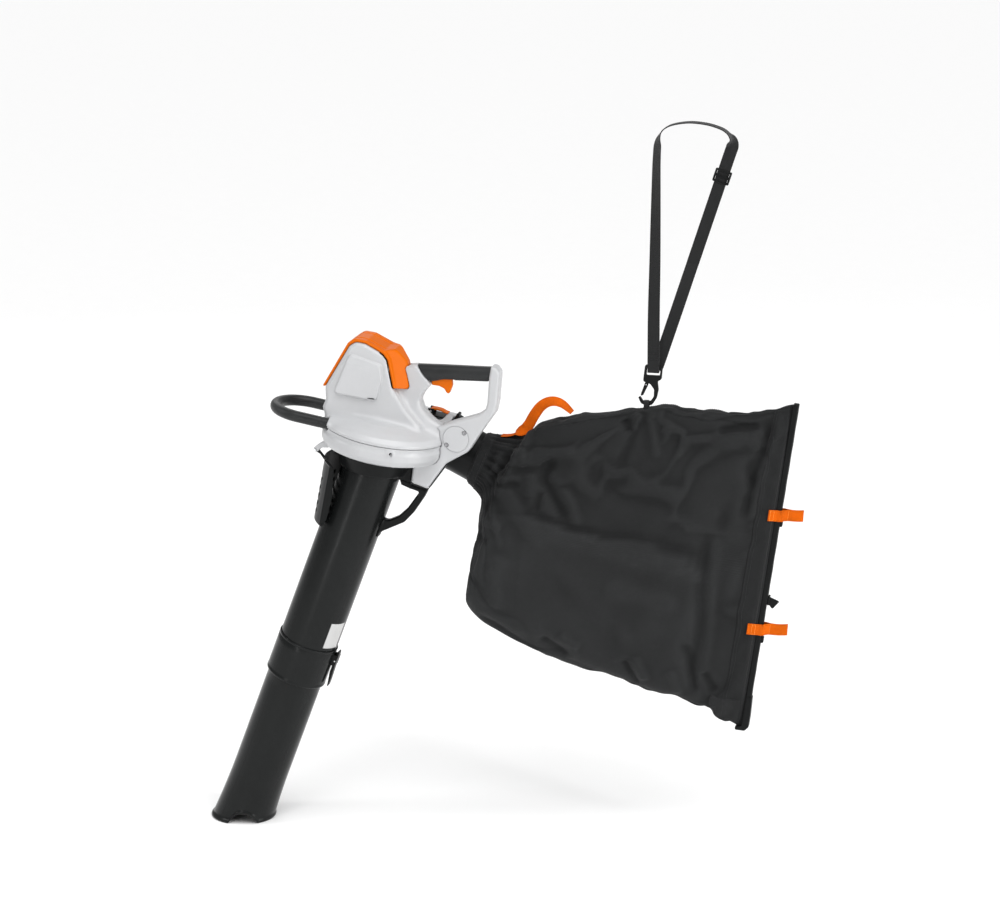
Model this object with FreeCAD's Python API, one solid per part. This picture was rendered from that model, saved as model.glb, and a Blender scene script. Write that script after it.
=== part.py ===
import FreeCAD, Part
import math
import os
from FreeCAD import Vector as V, Placement, Rotation

# Leaf vacuum mulcher, hand held, battery driven.  Millimetres, +Z up.
# Row frame: origin at the middle of the rear grip, +X to the rear (bag side), mid-plane at Y = 0.
# Machine frame (M): fan axis along its +Z, leaning 10 degrees back.
# Tube frame (T): suction tube axis along its Z, leaning 20.5 degrees.

# ---------------- driving dimensions ----------------
M_ORG, M_TILT = (-167.0, 0.0, -141.0), 10.0
T_ORG, T_TILT = (-154.74, 0.0, -110.0), 20.5
WALL = 2.8                 # moulded housing wall
VOL_R = 130.0              # fan casing outer radius
VOL_BOT, VOL_SEAM = -37.0, 9.0
EYE_R = 62.0               # intake eye radius
BODY_Y = 50.0              # half width of the motor body
NECK_Y = 19.5              # half width of the handle mouldings
DUCT_Y = 76.0              # middle plane of outlet duct and bag
DUCT_R, DUCT_RI, DUCT_DIP = 53.5, 50.5, 16.5
TUBE_R, TUBE_RI = 63.0, 60.3        # upper suction tube
LOW_R, LOW_RI = 59.9, 57.2          # lower suction tube
SLEEVE_R, SLEEVE_TOP, SLEEVE_BOT = 65.6, -525.0, -616.0
FLARE_Z = -846.0           # lower tube widens below this
LIP_DX, LIP_Z = 0.0, -1022.0        # mouth is cut level, row Z of the lip
BAR_R = 12.0               # front loop handle
LOOP_Y, LOOP_X = 64.0, -176.0
FAN_R, FAN_Z0, FAN_Z1 = 96.0, -27.0, 4.0
SHAFT_R = 5.0
BATT = (-87.0, -27.0, 91.0, 161.0, -46.0, 64.0)   # battery pack x0 x1 z0 z1 y0 y1 (M)
WEB_W, WEB_T = 26.0, 2.4   # harness webbing
TAB_W = 25.0
BAG_Y = 76.0
BAG_WALL = 2.4

os.makedirs("parts", exist_ok=True)
PM = Placement(V(*M_ORG), Rotation(V(0, 1, 0), M_TILT))
PT = Placement(V(*T_ORG), Rotation(V(0, 1, 0), T_TILT))
NODES = {}


def put(s, pl):
    s = s.copy()
    s.Placement = pl.multiply(s.Placement)
    return s


def save(name, s, pl=None):
    if pl is not None:
        s = put(s, pl)
    solids = s.Solids
    if len(solids) == 1:
        s = solids[0]
    else:
        s = Part.makeCompound(solids)
    bad = [i for i, o in enumerate(solids) if not (o.isValid() and o.isClosed() and o.Volume > 0)]
    print("%-24s solids %d vol %.0f mm3 %s" % (name, len(solids), sum(o.Volume for o in solids), "BAD" if bad or not solids else ""))
    NODES[name] = s
    s.exportStep("parts/%s.step" % name)


def one(s):
    return s.removeSplitter() if hasattr(s, "removeSplitter") else s


def box(x0, x1, y0, y1, z0, z1):
    return Part.makeBox(x1 - x0, y1 - y0, z1 - z0, V(x0, y0, z0))


def cyl(r, p0, p1):
    a, b = V(*p0), V(*p1)
    return Part.makeCylinder(r, (b - a).Length, a, b - a)


def ring(r1, r0, p0, p1):
    return cyl(r1, p0, p1).cut(cyl(r0, p0, p1))


def inset(pts, t):
    # moves every side of a closed polygon inwards by t
    n = len(pts)
    area = sum(pts[i][0] * pts[(i + 1) % n][1] - pts[(i + 1) % n][0] * pts[i][1] for i in range(n))
    s = 1.0 if area > 0 else -1.0
    lines = []
    for i in range(n):
        (x0, z0), (x1, z1) = pts[i], pts[(i + 1) % n]
        L = math.hypot(x1 - x0, z1 - z0)
        nx, nz = -(z1 - z0) / L * s, (x1 - x0) / L * s
        lines.append((x0 + nx * t, z0 + nz * t, x1 - x0, z1 - z0))
    out = []
    for i in range(n):
        x0, z0, dx0, dz0 = lines[i - 1]
        x1, z1, dx1, dz1 = lines[i]
        det = dx0 * dz1 - dz0 * dx1
        k = ((x1 - x0) * dz1 - (z1 - z0) * dx1) / det
        out.append((x0 + dx0 * k, z0 + dz0 * k))
    return out


def rwire(pts, r, y):
    # closed polygon in XZ with rounded corners
    n = len(pts)
    P = [V(p[0], y, p[1]) for p in pts]
    rad = r if isinstance(r, (list, tuple)) else [r] * n
    edges, ends = [], []
    for i in range(n):
        a, b, c = P[i - 1], P[i], P[(i + 1) % n]
        u, w = (a - b), (c - b)
        lu, lw = u.Length, w.Length
        u.normalize(); w.normalize()
        ang = u.getAngle(w)
        t = rad[i] / math.tan(ang / 2.0)
        t = min(t, 0.47 * lu, 0.47 * lw)
        rr = t * math.tan(ang / 2.0)
        p, q = b + u * t, b + w * t
        if rad[i] <= 0.01 or ang > math.pi - 0.02:
            ends.append((b, None, b))
            continue
        bis = (u + w); bis.normalize()
        mid = b + bis * (rr / math.sin(ang / 2.0) - rr)
        ends.append((p, mid, q))
    for i in range(n):
        p, m, q = ends[i]
        if m is not None:
            edges.append(Part.Arc(p, m, q).toShape())
        nxt = ends[(i + 1) % n][0]
        if (nxt - q).Length > 1e-5:
            edges.append(Part.LineSegment(q, nxt).toShape())
    return Part.Wire(edges)


def prism(pts, y0, y1, r=0.0):
    return Part.Face(rwire(pts, r, y0)).extrude(V(0, y1 - y0, 0))


def rim(s, r, ys):
    # rounds the rims of a prism that lie in the planes y in ys
    es = []
    for e in s.Edges:
        bb = e.BoundBox
        for y in ys:
            if abs(bb.YMin - y) < 1e-3 and abs(bb.YMax - y) < 1e-3:
                es.append(e)
    return s.makeFillet(r, es)


def revolve(pts, c=(0, 0)):
    w = Part.makePolygon([V(c[0] + p[0], c[1], p[1]) for p in pts + [pts[0]]])
    return Part.Face(w).revolve(V(c[0], c[1], 0), V(0, 0, 1), 360)


def circle(r, c, n):
    return Part.Wire([Part.Circle(V(*c), V(*n), r).toShape()])


def half(s, side):
    return s.common(box(-900, 900, -600 if side < 0 else 0, 0 if side < 0 else 600, -1500, 900))


def mrow(x, z, y=0.0):
    return PM.multVec(V(x, y, z))


def trow(x, z, y=0.0):
    return PT.multVec(V(x, y, z))


# ================= fan casing and motor body (M frame) =================
dd = math.radians(DUCT_DIP)
DD = V(math.cos(dd), 0, -math.sin(dd))                    # outlet direction, M
DC = V(112.0, DUCT_Y, -1.9)                               # where the outlet duct starts


def beyond(gap):
    # everything past the outlet plane
    s = Part.makeBox(400, 500, 500, V(gap, -250, -250))
    s.Placement = Placement(V(DC.x, DC.y, DC.z), Rotation(V(0, 1, 0), DUCT_DIP))
    return s


vol_o = revolve([(0, VOL_BOT), (108, VOL_BOT), (124, -31), (VOL_R, -20), (VOL_R, VOL_SEAM), (0, VOL_SEAM)])
vol_i = revolve([(0, VOL_BOT + WALL), (107, VOL_BOT + WALL), (122, -28.8), (VOL_R - WALL, -19), (VOL_R - WALL, VOL_SEAM + 1), (0, VOL_SEAM + 1)])
out_pts_lo = box(0, 150, 22, 130, VOL_BOT, VOL_SEAM)
out_in_lo = box(0, 160, 22 + WALL, 130 - WALL, VOL_BOT + WALL, VOL_SEAM + 1)
low = vol_o.fuse(out_pts_lo).cut(vol_i).cut(out_in_lo).cut(beyond(-0.4)).cut(cyl(EYE_R, (0, 0, -60), (0, 0, 0)))
# hinge ears for the intake screen, at the front under the casing
ear = prism([(-96, VOL_BOT + 1.0), (-96, VOL_BOT - 4), (-118, -47), (-128, -61), (-140, -62), (-139, -50), (-128, -38), (-120, -30), (-112, VOL_BOT + 4)], 0, 5, 1.5)
ears = None
for y0 in (-46, 41):
    e = ear.copy(); e.translate(V(0, y0, 0))
    e = e.cut(cyl(2.5, (-131, y0 - 1, -54), (-131, y0 + 6, -54))).cut(vol_i)
    ears = e if ears is None else ears.fuse(e)
low = low.fuse(ears)
# seam screw bosses round the casing
SEAM = [(-90, -98), (-4, -133), (92, -97), (136, -36), (-130, -30), (-130, 30), (-86, 102)]
for s in (-1, 1):
    low = low.cut(cyl(BAR_R + 0.05, (-150, s * LOOP_Y, 14), (-96, s * LOOP_Y, 14)))
save("volute_lower", one(low), PM)

crown = [(0, VOL_SEAM), (VOL_R, VOL_SEAM), (VOL_R, 15), (124, 24), (104, 34), (80, 42), (0, 46)]
crown_i = [(0, VOL_SEAM - 1), (VOL_R - WALL, VOL_SEAM - 1), (VOL_R - WALL, 14), (121.5, 22.5), (103, 31), (79, 39), (0, 43)]
BODY = [(-118, 16), (-138, 50), (-137, 84), (-93, 184), (-82, 194.5), (-62, 195), (-20, 181.5), (-10, 171), (13, 112), (48, 74), (86, 44), (70, 16)]
NECK = [(4, 60), (8, 120), (13, 149), (26, 161), (47, 166.5), (83, 133.5), (78, 122), (70, 108), (66, 92), (70, 78), (82, 66), (104, 30), (20, 30)]
PANEL = [(-86, 171), (-22, 163), (-18, 104), (-34, 64), (-96, 74), (-110, 90)]
body_o = rim(prism(BODY, -BODY_Y, BODY_Y, [4, 10, 10, 10, 10, 10, 10, 10, 10, 6, 6, 4]), 9.0, (-BODY_Y, BODY_Y))
body_i = prism(inset(BODY, WALL), -BODY_Y + WALL, BODY_Y - WALL, 6)
neck_o = rim(prism(NECK, -NECK_Y, NECK_Y, [0.5, 6, 8, 6, 4, 4, 6, 8, 10, 10, 8, 2, 2]), 5.0, (-NECK_Y, NECK_Y))
neck_i = prism(inset(NECK, WALL), -NECK_Y + WALL, NECK_Y - WALL, 3)
pan_n = rim(prism(PANEL, -60, -40, 9), 5.0, (-60,))
pan_ni = prism(inset(PANEL, WALL), -60 + WALL, -40, 6)
pan_f = rim(prism(PANEL, 40, 60, 9), 4.0, (60,))
upper_o = revolve(crown).fuse(body_o).fuse(neck_o).fuse(pan_n).fuse(pan_f)
out_hi = rim(box(0, 150, 22, 130, VOL_SEAM, 46), 0.01, ()) if False else box(0, 150, 22, 130, VOL_SEAM, 46)
upper_o = upper_o.fuse(out_hi)
b = BATT
batt_hole = box(b[0] - 0.6, b[1] + 0.6, 30, 70, b[2] - 0.6, b[3] + 0.6)
loop_holes = None
for s in (-1, 1):
    h = cyl(BAR_R + 0.05, (-150, s * LOOP_Y, 14), (-96, s * LOOP_Y, 14))
    loop_holes = h if loop_holes is None else loop_holes.fuse(h)
# sockets that carry the ends of the loop handle
socks = None
for s in (-1, 1):
    h = cyl(BAR_R + 3.4, (-112, s * LOOP_Y, 14), (-72, s * LOOP_Y, 14))
    socks = h if socks is None else socks.fuse(h)
upper_i = revolve(crown_i).fuse(body_i).fuse(neck_i).fuse(pan_ni).fuse(box(0, 160, 22 + WALL, 130 - WALL, VOL_SEAM - 1, 46 - WALL))
upper_o = upper_o.fuse(socks.common(box(-200, 0, -200, 200, VOL_SEAM, 60)))
upper = upper_o.cut(upper_i.cut(socks)).cut(loop_holes).cut(batt_hole).cut(beyond(-0.4))
upper = upper.cut(box(-200, 200, -200, 200, -200, VOL_SEAM + 0.2))
low_cut = loop_holes
grip_cut = None
near, far = half(upper, -1), half(upper, 1)


# ================= rear grip (row frame) =================
def ell(x, zc, hh, hw):
    e = Part.Ellipse(V(x, 0, zc), max(hh, hw), min(hh, hw))
    w = Part.Wire([e.toShape()])
    w = e.toShape()
    if hh >= hw:
        m = Placement(V(x, 0, zc), Rotation(V(0, 1, 0), -90))
    else:
        m = Placement(V(x, 0, zc), Rotation(V(0, 0, 1), 90).multiply(Rotation(V(1, 0, 0), 90)))
    e2 = Part.Ellipse(V(0, 0, 0), max(hh, hw), min(hh, hw)).toShape()
    e2.Placement = m
    return Part.Wire([e2])


grip = Part.makeLoft([ell(-104, -4.5, 20.6, 17.6), ell(-78, -4.2, 20.5, 17.8), ell(-56, -2.2, 18.8, 17.8), ell(-34, 0.2, 16.7, 16.6), ell(20, 0.8, 16.2, 16.1), ell(80, 1.2, 16.0, 15.9)], True, False)
front_cut = Part.Face(Part.makePolygon([V(-150, -60, 60), V(-127, -60, 60), V(-91.3, -60, 14.4), V(-54.6, -60, -33.0), V(-40, -60, -52), V(-150, -60, -52), V(-150, -60, 60)])).extrude(V(0, 120, 0))
rear_cut = Part.Face(Part.makePolygon([V(84.5, -60, 56), V(70.2, -60, 16.2), V(59.2, -60, -15.4), V(50, -60, -42), V(150, -60, -42), V(150, -60, 56), V(84.5, -60, 56)])).extrude(V(0, 120, 0))
grip = grip.cut(front_cut).cut(rear_cut)
core = box(-120, 75, -9.5, 9.5, -9.0, 9.0)                   # channel for the handle spine and the switch
grip = grip.cut(core)
trig_pocket = box(-66, -13, -8.0, 8.0, -34, -8)
grip = grip.cut(trig_pocket).cut(cyl(1.5, (-57, -9.4, -14), (-57, 9.4, -14)))
save("rear_grip", one(grip))

# handle frame: post and leg (M frame)
FRAME = [(203, 199.5), (214, 199.5), (224, 189), (229.5, 129), (229, 105), (207, 57), (187, 9), (145, -27), (114.5, -90.5), (77.5, -84.5), (75.5, -44), (70, -36), (70, 40), (110, 50), (121, 51), (147, 66), (192, 90), (207, 106), (208.5, 122), (204.5, 160), (203, 175)]
FR_R = [1, 7, 8, 10, 14, 30, 20, 10, 5, 5, 2, 1, 1, 2, 4, 14, 10, 9, 8, 4, 4]
# the leg leaves the grip face along the same slanted plane
frame_o = prism(FRAME, -NECK_Y, NECK_Y, FR_R)
frame_i = prism(inset(FRAME, WALL), -NECK_Y + WALL, NECK_Y - WALL, 2)
spine = put(box(-98, 84, -9.2, 9.2, -8.7, 8.7), PM.inverse())
spine_i = put(box(-96, 84, -7.2, 7.2, -6.7, 6.7), PM.inverse())
cut_vol = vol_o.fuse(revolve(crown)).fuse(out_pts_lo).fuse(out_hi).fuse(body_o).fuse(neck_o)
rear_m = put(rear_cut, PM.inverse())
frame_o = frame_o.common(rear_m.fuse(prism([(60, -120), (260, -120), (260, 158), (60, 130)], -60, 60)))
frame_s = frame_o.cut(frame_i).cut(cut_vol)
save("handle_frame_near", one(half(frame_s, -1)), PM)
save("handle_frame_far", one(half(frame_s, 1)), PM)
# handle spine inside the grip, carries the switch
spn = box(-97, 60, -9.0, 9.0, -8.5, 8.5).cut(box(-95, 58, -6.8, 6.8, -6.3, 6.3)).cut(box(-64, -15, -8.0, 8.0, -20, -2))
save("handle_spine", one(spn))

near = near.cut(put(box(-97.4, 60, -9.4, 9.4, -8.9, 8.9), PM.inverse()))
far = far.cut(put(box(-97.4, 60, -9.4, 9.4, -8.9, 8.9), PM.inverse()))
save("housing_near", one(near), PM)
save("housing_far", one(far), PM)

# ================= hood =================
HOOD = [(-144, 83), (-98, 189), (-85, 201), (-62, 202), (-16, 188), (-5, 175), (19, 109), (13.5, 107.2), (-10, 171), (-20, 181.5), (-62, 195), (-82, 194.5), (-93, 184), (-137.2, 84.5)]
hood = prism(HOOD, -44, 44, [1.5, 12, 12, 14, 12, 10, 1.5, 1.5, 10, 10, 10, 10, 10, 1.5])
hood = hood.cut(body_o).cut(neck_o)
hood = max(hood.Solids, key=lambda o: o.Volume)
save("hood", hood, PM)

# ================= front loop handle =================
path = Part.Wire([
    Part.LineSegment(V(-96.5, -LOOP_Y, 14), V(LOOP_X, -LOOP_Y, 14)).toShape(),
    Part.Arc(V(LOOP_X, -LOOP_Y, 14), V(LOOP_X - LOOP_Y, 0, 14), V(LOOP_X, LOOP_Y, 14)).toShape(),
    Part.LineSegment(V(LOOP_X, LOOP_Y, 14), V(-96.5, LOOP_Y, 14)).toShape()])
prof = circle(BAR_R, (-96.5, -LOOP_Y, 14), (-1, 0, 0))
loop = path.makePipeShell([prof], True, False)
save("loop_handle", loop, PM)

# ================= motor, fan, shredder =================
save("motor_bulkhead", one(ring(104, 12.5, (0, 0, 7.6), (0, 0, 10.6)).cut(socks)), PM)
can = ring(33, 30.5, (0, 0, 14), (0, 0, 84)).fuse(ring(33, 11.2, (0, 0, 84), (0, 0, 87))).fuse(ring(33, 11.2, (0, 0, 11), (0, 0, 14)))
can = can.fuse(ring(14, 11.1, (0, 0, 76), (0, 0, 84))).fuse(ring(14, 11.1, (0, 0, 14), (0, 0, 22)))
save("motor_can", one(can), PM)
stator = ring(30.3, 21.5, (0, 0, 28), (0, 0, 70))
teeth = stator
for i in range(9):
    a = math.radians(40 * i)
    slot = box(22.6, 28.0, -2.2, 2.2, 20, 80)
    slot.rotate(V(0, 0, 0), V(0, 0, 1), 40 * i)
    teeth = teeth.cut(slot)
save("motor_stator", one(teeth), PM)
save("motor_rotor", ring(20.6, SHAFT_R, (0, 0, 30), (0, 0, 68)), PM)
save("upper_bearing", ring(11.0, SHAFT_R + 0.04, (0, 0, 76), (0, 0, 84)), PM)
save("lower_bearing", ring(11.0, SHAFT_R + 0.04, (0, 0, 14), (0, 0, 22)), PM)
save("fan_shaft", cyl(SHAFT_R, (0, 0, -46), (0, 0, 90)), PM)
imp = ring(FAN_R, SHAFT_R, (0, 0, 1.5), (0, 0, FAN_Z1))
hub = ring(17, SHAFT_R, (0, 0, -27), (0, 0, 1.5))
imp = imp.fuse(hub)
for i in range(8):
    bl = box(15.5, FAN_R - 1, -1.5, 1.5, FAN_Z0, 2.0)
    bl = bl.cut(Part.makeCone(EYE_R + 2, 20, 26, V(0, 0, -31), V(0, 0, 1)).cut(cyl(19, (0, 0, -31), (0, 0, 0))))
    bl.rotate(V(30, 0, 0), V(0, 0, 1), 14)
    bl.rotate(V(0, 0, 0), V(0, 0, 1), 45 * i)
    imp = imp.fuse(max(bl.Solids, key=lambda o: o.Volume))
save("impeller", one(imp), PM)
sb = prism([(-50, -4), (50, -4), (50, 4), (-50, 4)], -36.0, -33.0)
blade = None
for k in range(2):
    bpts = [V(-52, -9, 0), V(-20, -11, 0), V(20, -11, 0), V(52, -5, 0), V(52, 9, 0), V(20, 11, 0), V(-20, 11, 0), V(-52, 5, 0)]
    w = Part.makePolygon(bpts + [bpts[0]])
    bb = Part.Face(w).extrude(V(0, 0, 3))
    bb.translate(V(0, 0, -33))
    bb.rotate(V(0, 0, 0), V(0, 0, 1), 90 * k)
    blade = bb if blade is None else blade.fuse(bb)
blade = blade.cut(cyl(SHAFT_R, (0, 0, -40), (0, 0, -20)))
save("shredder_blade", one(blade), PM)
hexp = [V(9.2 * math.cos(math.radians(60 * i)), 9.2 * math.sin(math.radians(60 * i)), -41) for i in range(6)]
nut = Part.Face(Part.makePolygon(hexp + [hexp[0]])).extrude(V(0, 0, 8)).cut(cyl(SHAFT_R, (0, 0, -50), (0, 0, -20)))
save("blade_nut", nut, PM)
save("controller_board", box(-104, -42, -32, 32, 60, 61.6).fuse(box(-96, -78, -24, -6, 61.6, 72)).fuse(box(-70, -50, 4, 26, 61.6, 68)), PM)

# ================= battery =================
bat = rim(box(b[0], b[1], b[4], b[5], b[2], b[3]), 3.0, (b[5],))
bat = bat.cut(box(-72, -42, 50, 70, 147.5, 170)).cut(box(-76, -38, 57, 70, 100, 112))
save("battery_pack", one(bat), PM)
BLY, BLZ = 54.4, 154.0
bl = prism([(-70, 149.5), (-44, 149.5), (-44, 158.5), (-70, 158.5)], 52.0, 62.8, 1.5).cut(cyl(1.66, (-90, BLY, BLZ), (-20, BLY, BLZ)))
save("battery_latch", bl, PM)
save("battery_latch_pin", cyl(1.6, (-72, BLY, BLZ), (-42, BLY, BLZ)), PM)
term = None
for i in range(4):
    t = box(-80 + 13 * i, -76 + 13 * i, -47, -46.4, 120, 140)
    term = t if term is None else term.fuse(t)
save("battery_contacts", term, PM)

# ================= trigger =================
TRIG = [(-62, -16), (-62, -27.5), (-46, -29.0), (-35, -34), (-30, -42.5), (-24.5, -45), (-17.5, -27), (-18.5, -12.5), (-50, -12), (-58, -9.5)]
trg = rim(prism(TRIG, -7, 7, [3, 2, 4, 3, 3, 2, 3, 2, 2, 3]), 1.5, (-7, 7)).cut(cyl(1.55, (-57, -10, -14), (-57, 10, -14)))
save("trigger", one(trg))
save("trigger_pin", cyl(1.5, (-57, -9.4, -14), (-57, 9.4, -14)))
sw = box(-40, -20, -6, 6, -1.5, 6.0).fuse(box(-33, -27, -3, 3, -5.4, -1.5))
save("switch_block", one(sw))
save("trigger_spring", prism([(-50, -4), (-48, -9.3), (-47.2, -9.3), (-49.2, -3.4), (-49.6, 1), (-50.4, 1)], -3, 3))

# ================= side cover plate, screws =================
PLC = (157.0, 31.0)
pl = cyl(27.5, (PLC[0], -NECK_Y - 1.6, PLC[1]), (PLC[0], -NECK_Y + 0.0, PLC[1]))
save("side_cover", pl, PM)
PS = [(139.5, 14.5), (172, 48)]
g = None
for x, z in PS:
    s = cyl(4.0, (x, -NECK_Y - 2.9, z), (x, -NECK_Y - 1.6, z)).cut(cyl(1.8, (x, -NECK_Y - 3.2, z), (x, -NECK_Y - 2.2, z)))
    g = s if g is None else g.fuse(s)
save("cover_screws", g, PM)
g = None
for x, y in [(-90, -93), (62, -113.5), (113, -63), (-113, 63), (-60, 115)]:
    s = cyl(3.6, (x, y, VOL_BOT - 1.4), (x, y, VOL_BOT - 0.0)) if False else None
scr = []
for ang in (216, 246, 299, 335, 120, 144):
    x, y = 102 * math.cos(math.radians(ang)), 102 * math.sin(math.radians(ang))
    scr.append(cyl(3.8, (x, y, VOL_BOT - 1.6), (x, y, VOL_BOT)))
save("seam_screws", Part.makeCompound(scr), PM)

# ================= outlet latch and duct =================
flg = cyl(55.0, (0, 0, 0), (0, 0, 4)).cut(cyl(38.0, (0, 0, -1), (0, 0, 5)))
tub = cyl(DUCT_R, (0, 0, 3), (0, 0, 126)).cut(cyl(DUCT_RI, (0, 0, 4), (0, 0, 127)))
bead = ring(DUCT_R + 2.2, DUCT_R - 0.5, (0, 0, 112), (0, 0, 117))
duct = flg.fuse(tub).fuse(bead)
PD = Placement(DC, Rotation(V(0, 1, 0), 90 + DUCT_DIP))
duct = put(duct, PD)
hookb = box(112, 136, 64, 88, 50, 60).cut(box(111, 125, 63, 89, 40, 55)) if False else None
catch = put(box(-67.5, -53.0, -11, 11, 2, 9).fuse(box(-62.0, -53.0, -11, 11, 2, 18)), PD)
duct = duct.fuse(catch)
save("discharge_duct", one(duct), PM)
lb = box(66, 92, 62, 90, 46, 49).fuse(box(70, 84, 62, 66, 49, 60)).fuse(box(70, 84, 86, 90, 49, 60)).cut(cyl(2.0, (77, 60, 55), (77, 92, 55)))
save("outlet_latch_base", one(lb), PM)
lev = prism([(73.2, 51.7), (72.6, 58), (76, 62.5), (84, 66), (104, 68.5), (118, 67), (127, 68.4), (127, 65.6), (118, 63.8), (104, 64.4), (87, 61), (82.3, 57), (80.8, 51.7)], 66.4, 85.6, [2, 3, 3, 4, 6, 4, 1, 1, 4, 4, 4, 2, 2])
lev = lev.cut(cyl(2.06, (77, 60, 55), (77, 92, 55)))
save("outlet_latch", one(lev), PM)
save("outlet_latch_pin", cyl(2.0, (77, 61.6, 55), (77, 90.4, 55)), PM)

# ================= suction tube (T frame) =================
mt = PT.inverse()


def m2t(s):
    return put(put(s, PM), mt)


def mcirc(r, z):
    w = circle(r, (0, 0, z), (0, 0, 1))
    return m2t(w)


def loft(ws, solid=True, ruled=False):
    return Part.makeLoft(ws, solid, ruled)


col_o = m2t(Part.makeCone(70.0, 83.5, 32.0, V(-12.0, 0, -78.0), V(0, 0, 1)).fuse(cyl(83.5, (-12.0, 0, -46.0), (-12.0, 0, -38.3))))
col_i = m2t(Part.makeCone(67.0, 80.5, 32.0, V(-12.0, 0, -78.0), V(0, 0, 1)).fuse(cyl(80.5, (-12.0, 0, -46.0), (-12.0, 0, -38.0))))
tube_o = cyl(TUBE_R, (0, 0, -78), (0, 0, -560))
tube_i = cyl(TUBE_RI, (0, 0, -50), (0, 0, -600))
cone = Part.makeCone(TUBE_R + 0.2, 74.5, 40, V(0, 0, -118), V(0, 0, 1))
cone_i = Part.makeCone(TUBE_RI - 0.2, 71.7, 40, V(0, 0, -118), V(0, 0, 1))
up = col_o.fuse(cone).fuse(tube_o)
up = up.cut(col_i).cut(cone_i).cut(tube_i)
up = max(up.Solids, key=lambda o: o.Volume)
# lug that plugs under the leg of the handle frame
lug = m2t(prism([(46, -50), (74.5, -47.5), (76.0, -88), (46, -84)], -13, 13, 2)).cut(col_o).cut(col_i).cut(cone).cut(tube_o).cut(tube_i)
lug = max(lug.Solids, key=lambda o: o.Volume)
up = up.fuse(lug)
save("suction_tube_upper", one(up), PT)

bow_pts = [(74.4, -92.2), (114.5, -95.5), (109, -113), (92, -152), (76, -177), (24, -214), (12, -214), (20, -182), (41, -181), (61, -167), (78, -144), (93, -112), (97, -104), (74.4, -101)]
bow = m2t(prism(bow_pts, -10.5, 10.5, [2, 3, 10, 14, 12, 4, 1, 1, 6, 10, 12, 6, 2, 2])).cut(cyl(TUBE_R + 0.0, (0, 0, 0), (0, 0, -700))).cut(lug)
bow2 = m2t(prism([(50, -84.5), (76, -88), (76, -101), (56, -96)], -10.5, 10.5, 1)).cut(cyl(TUBE_R, (0, 0, 0), (0, 0, -700))).cut(lug)
bow = bow.fuse(bow2).cut(up)
save("tube_bow", one(max(bow.Solids, key=lambda o: o.Volume)), PT)

# mouth: lower tube, flare and level lip
sl = ring(SLEEVE_R, TUBE_R + 0.35, (0, 0, SLEEVE_TOP), (0, 0, -562))
step = cyl(SLEEVE_R, (0, 0, -562), (0, 0, SLEEVE_BOT)).cut(cyl(LOW_RI, (0, 0, -561), (0, 0, SLEEVE_BOT - 1)))
lt = cyl(LOW_R, (0, 0, SLEEVE_BOT), (0, 0, FLARE_Z)).cut(cyl(LOW_RI, (0, 0, SLEEVE_BOT + 1), (0, 0, FLARE_Z - 1)))
fo = Part.makeCone(70.1, LOW_R, 200, V(0, 0, FLARE_Z - 200), V(0, 0, 1))
fi = Part.makeCone(67.4, LOW_RI, 200, V(0, 0, FLARE_Z - 200), V(0, 0, 1))
low_t = sl.fuse(step).fuse(lt).fuse(fo.cut(fi))
# level cut of the lip
cutb = put(box(-900, 300, -300, 300, -1400, LIP_Z), mt)
low_t = low_t.cut(cutb)
# notch in the near side of the lip
lipc = V(-154.74 + (LIP_Z + 110.0) * math.tan(math.radians(T_TILT)), 0, LIP_Z)
notch = put(Part.makeCylinder(34, 60, V(lipc.x - 4, -100, LIP_Z - 20), V(0, 1, 0)), mt)
low_t = low_t.cut(notch)
# clip ribs for the latch
LPX, LPZ = 71.8, -548.0
lugs = box(60.5, 75.4, -13, -9.2, -560, -536).fuse(box(60.5, 75.4, 9.2, 13, -560, -536)).cut(cyl(SLEEVE_R - 1.0, (0, 0, -500), (0, 0, -620)))
low_t = low_t.fuse(lugs).cut(cyl(1.5, (LPX, -20, LPZ), (LPX, 20, LPZ)))
save("suction_tube_lower", one(low_t), PT)
tl = prism([(70.2, -527), (73.2, -524), (75.0, -530), (75.2, -560), (76.6, -598), (76.2, -610), (73.6, -610), (72.2, -598), (68.6, -577), (68.6, -545)], -8.8, 8.8, [1, 1.5, 3, 4, 4, 1, 1, 4, 4, 3])
tl = tl.cut(cyl(1.56, (LPX, -20, LPZ), (LPX, 20, LPZ)))
save("tube_latch", one(tl), PT)
save("tube_latch_pin", cyl(1.5, (LPX, -13, LPZ), (LPX, 13, LPZ)), PT)
lab = ring(TUBE_R + 0.7, TUBE_R + 0.0, (0, 0, -517), (0, 0, -457))
wedge = Part.makeCylinder(90, 70, V(0, 0, -522), V(0, 0, 1), 34)
wedge.rotate(V(0, 0, 0), V(0, 0, 1), -62)
save("blank_label", one(lab.common(wedge)), PT)

# ================= intake screen (M frame), swung open in front of the tube =================
scr_pts = [(-133.5, -46.5), (-124, -46.5), (-112, -58), (-108.5, -98), (-108, -124), (-100, -128), (-112, -196), (-106, -214), (-111, -218), (-121, -203), (-121.5, -100), (-123, -62), (-134.5, -60.5)]
SW, SH = 66.0, 3.0
frame_l = [(-133.5, -49), (-127, -46.5), (-117, -56), (-112.5, -70), (-111, -120), (-109, -205), (-119, -205), (-121, -120), (-121.5, -70), (-126, -62), (-133.5, -60)]
panel = prism([(-121, -66), (-111.5, -66), (-109.5, -204), (-119.5, -204)], -SW, SW, 2)
win = None
for i in range(7):
    z1 = -78 - 17.3 * i
    w = box(-130, -100, -SW + 7, SW - 7, z1 - 10.5, z1)
    panel = panel.cut(w)
for y in (-33, 0, 33):
    panel = panel.fuse(prism([(-120.5, -68), (-113, -68), (-111, -202), (-119, -202)], y - 1.5, y + 1.5))
arms = None
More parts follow.
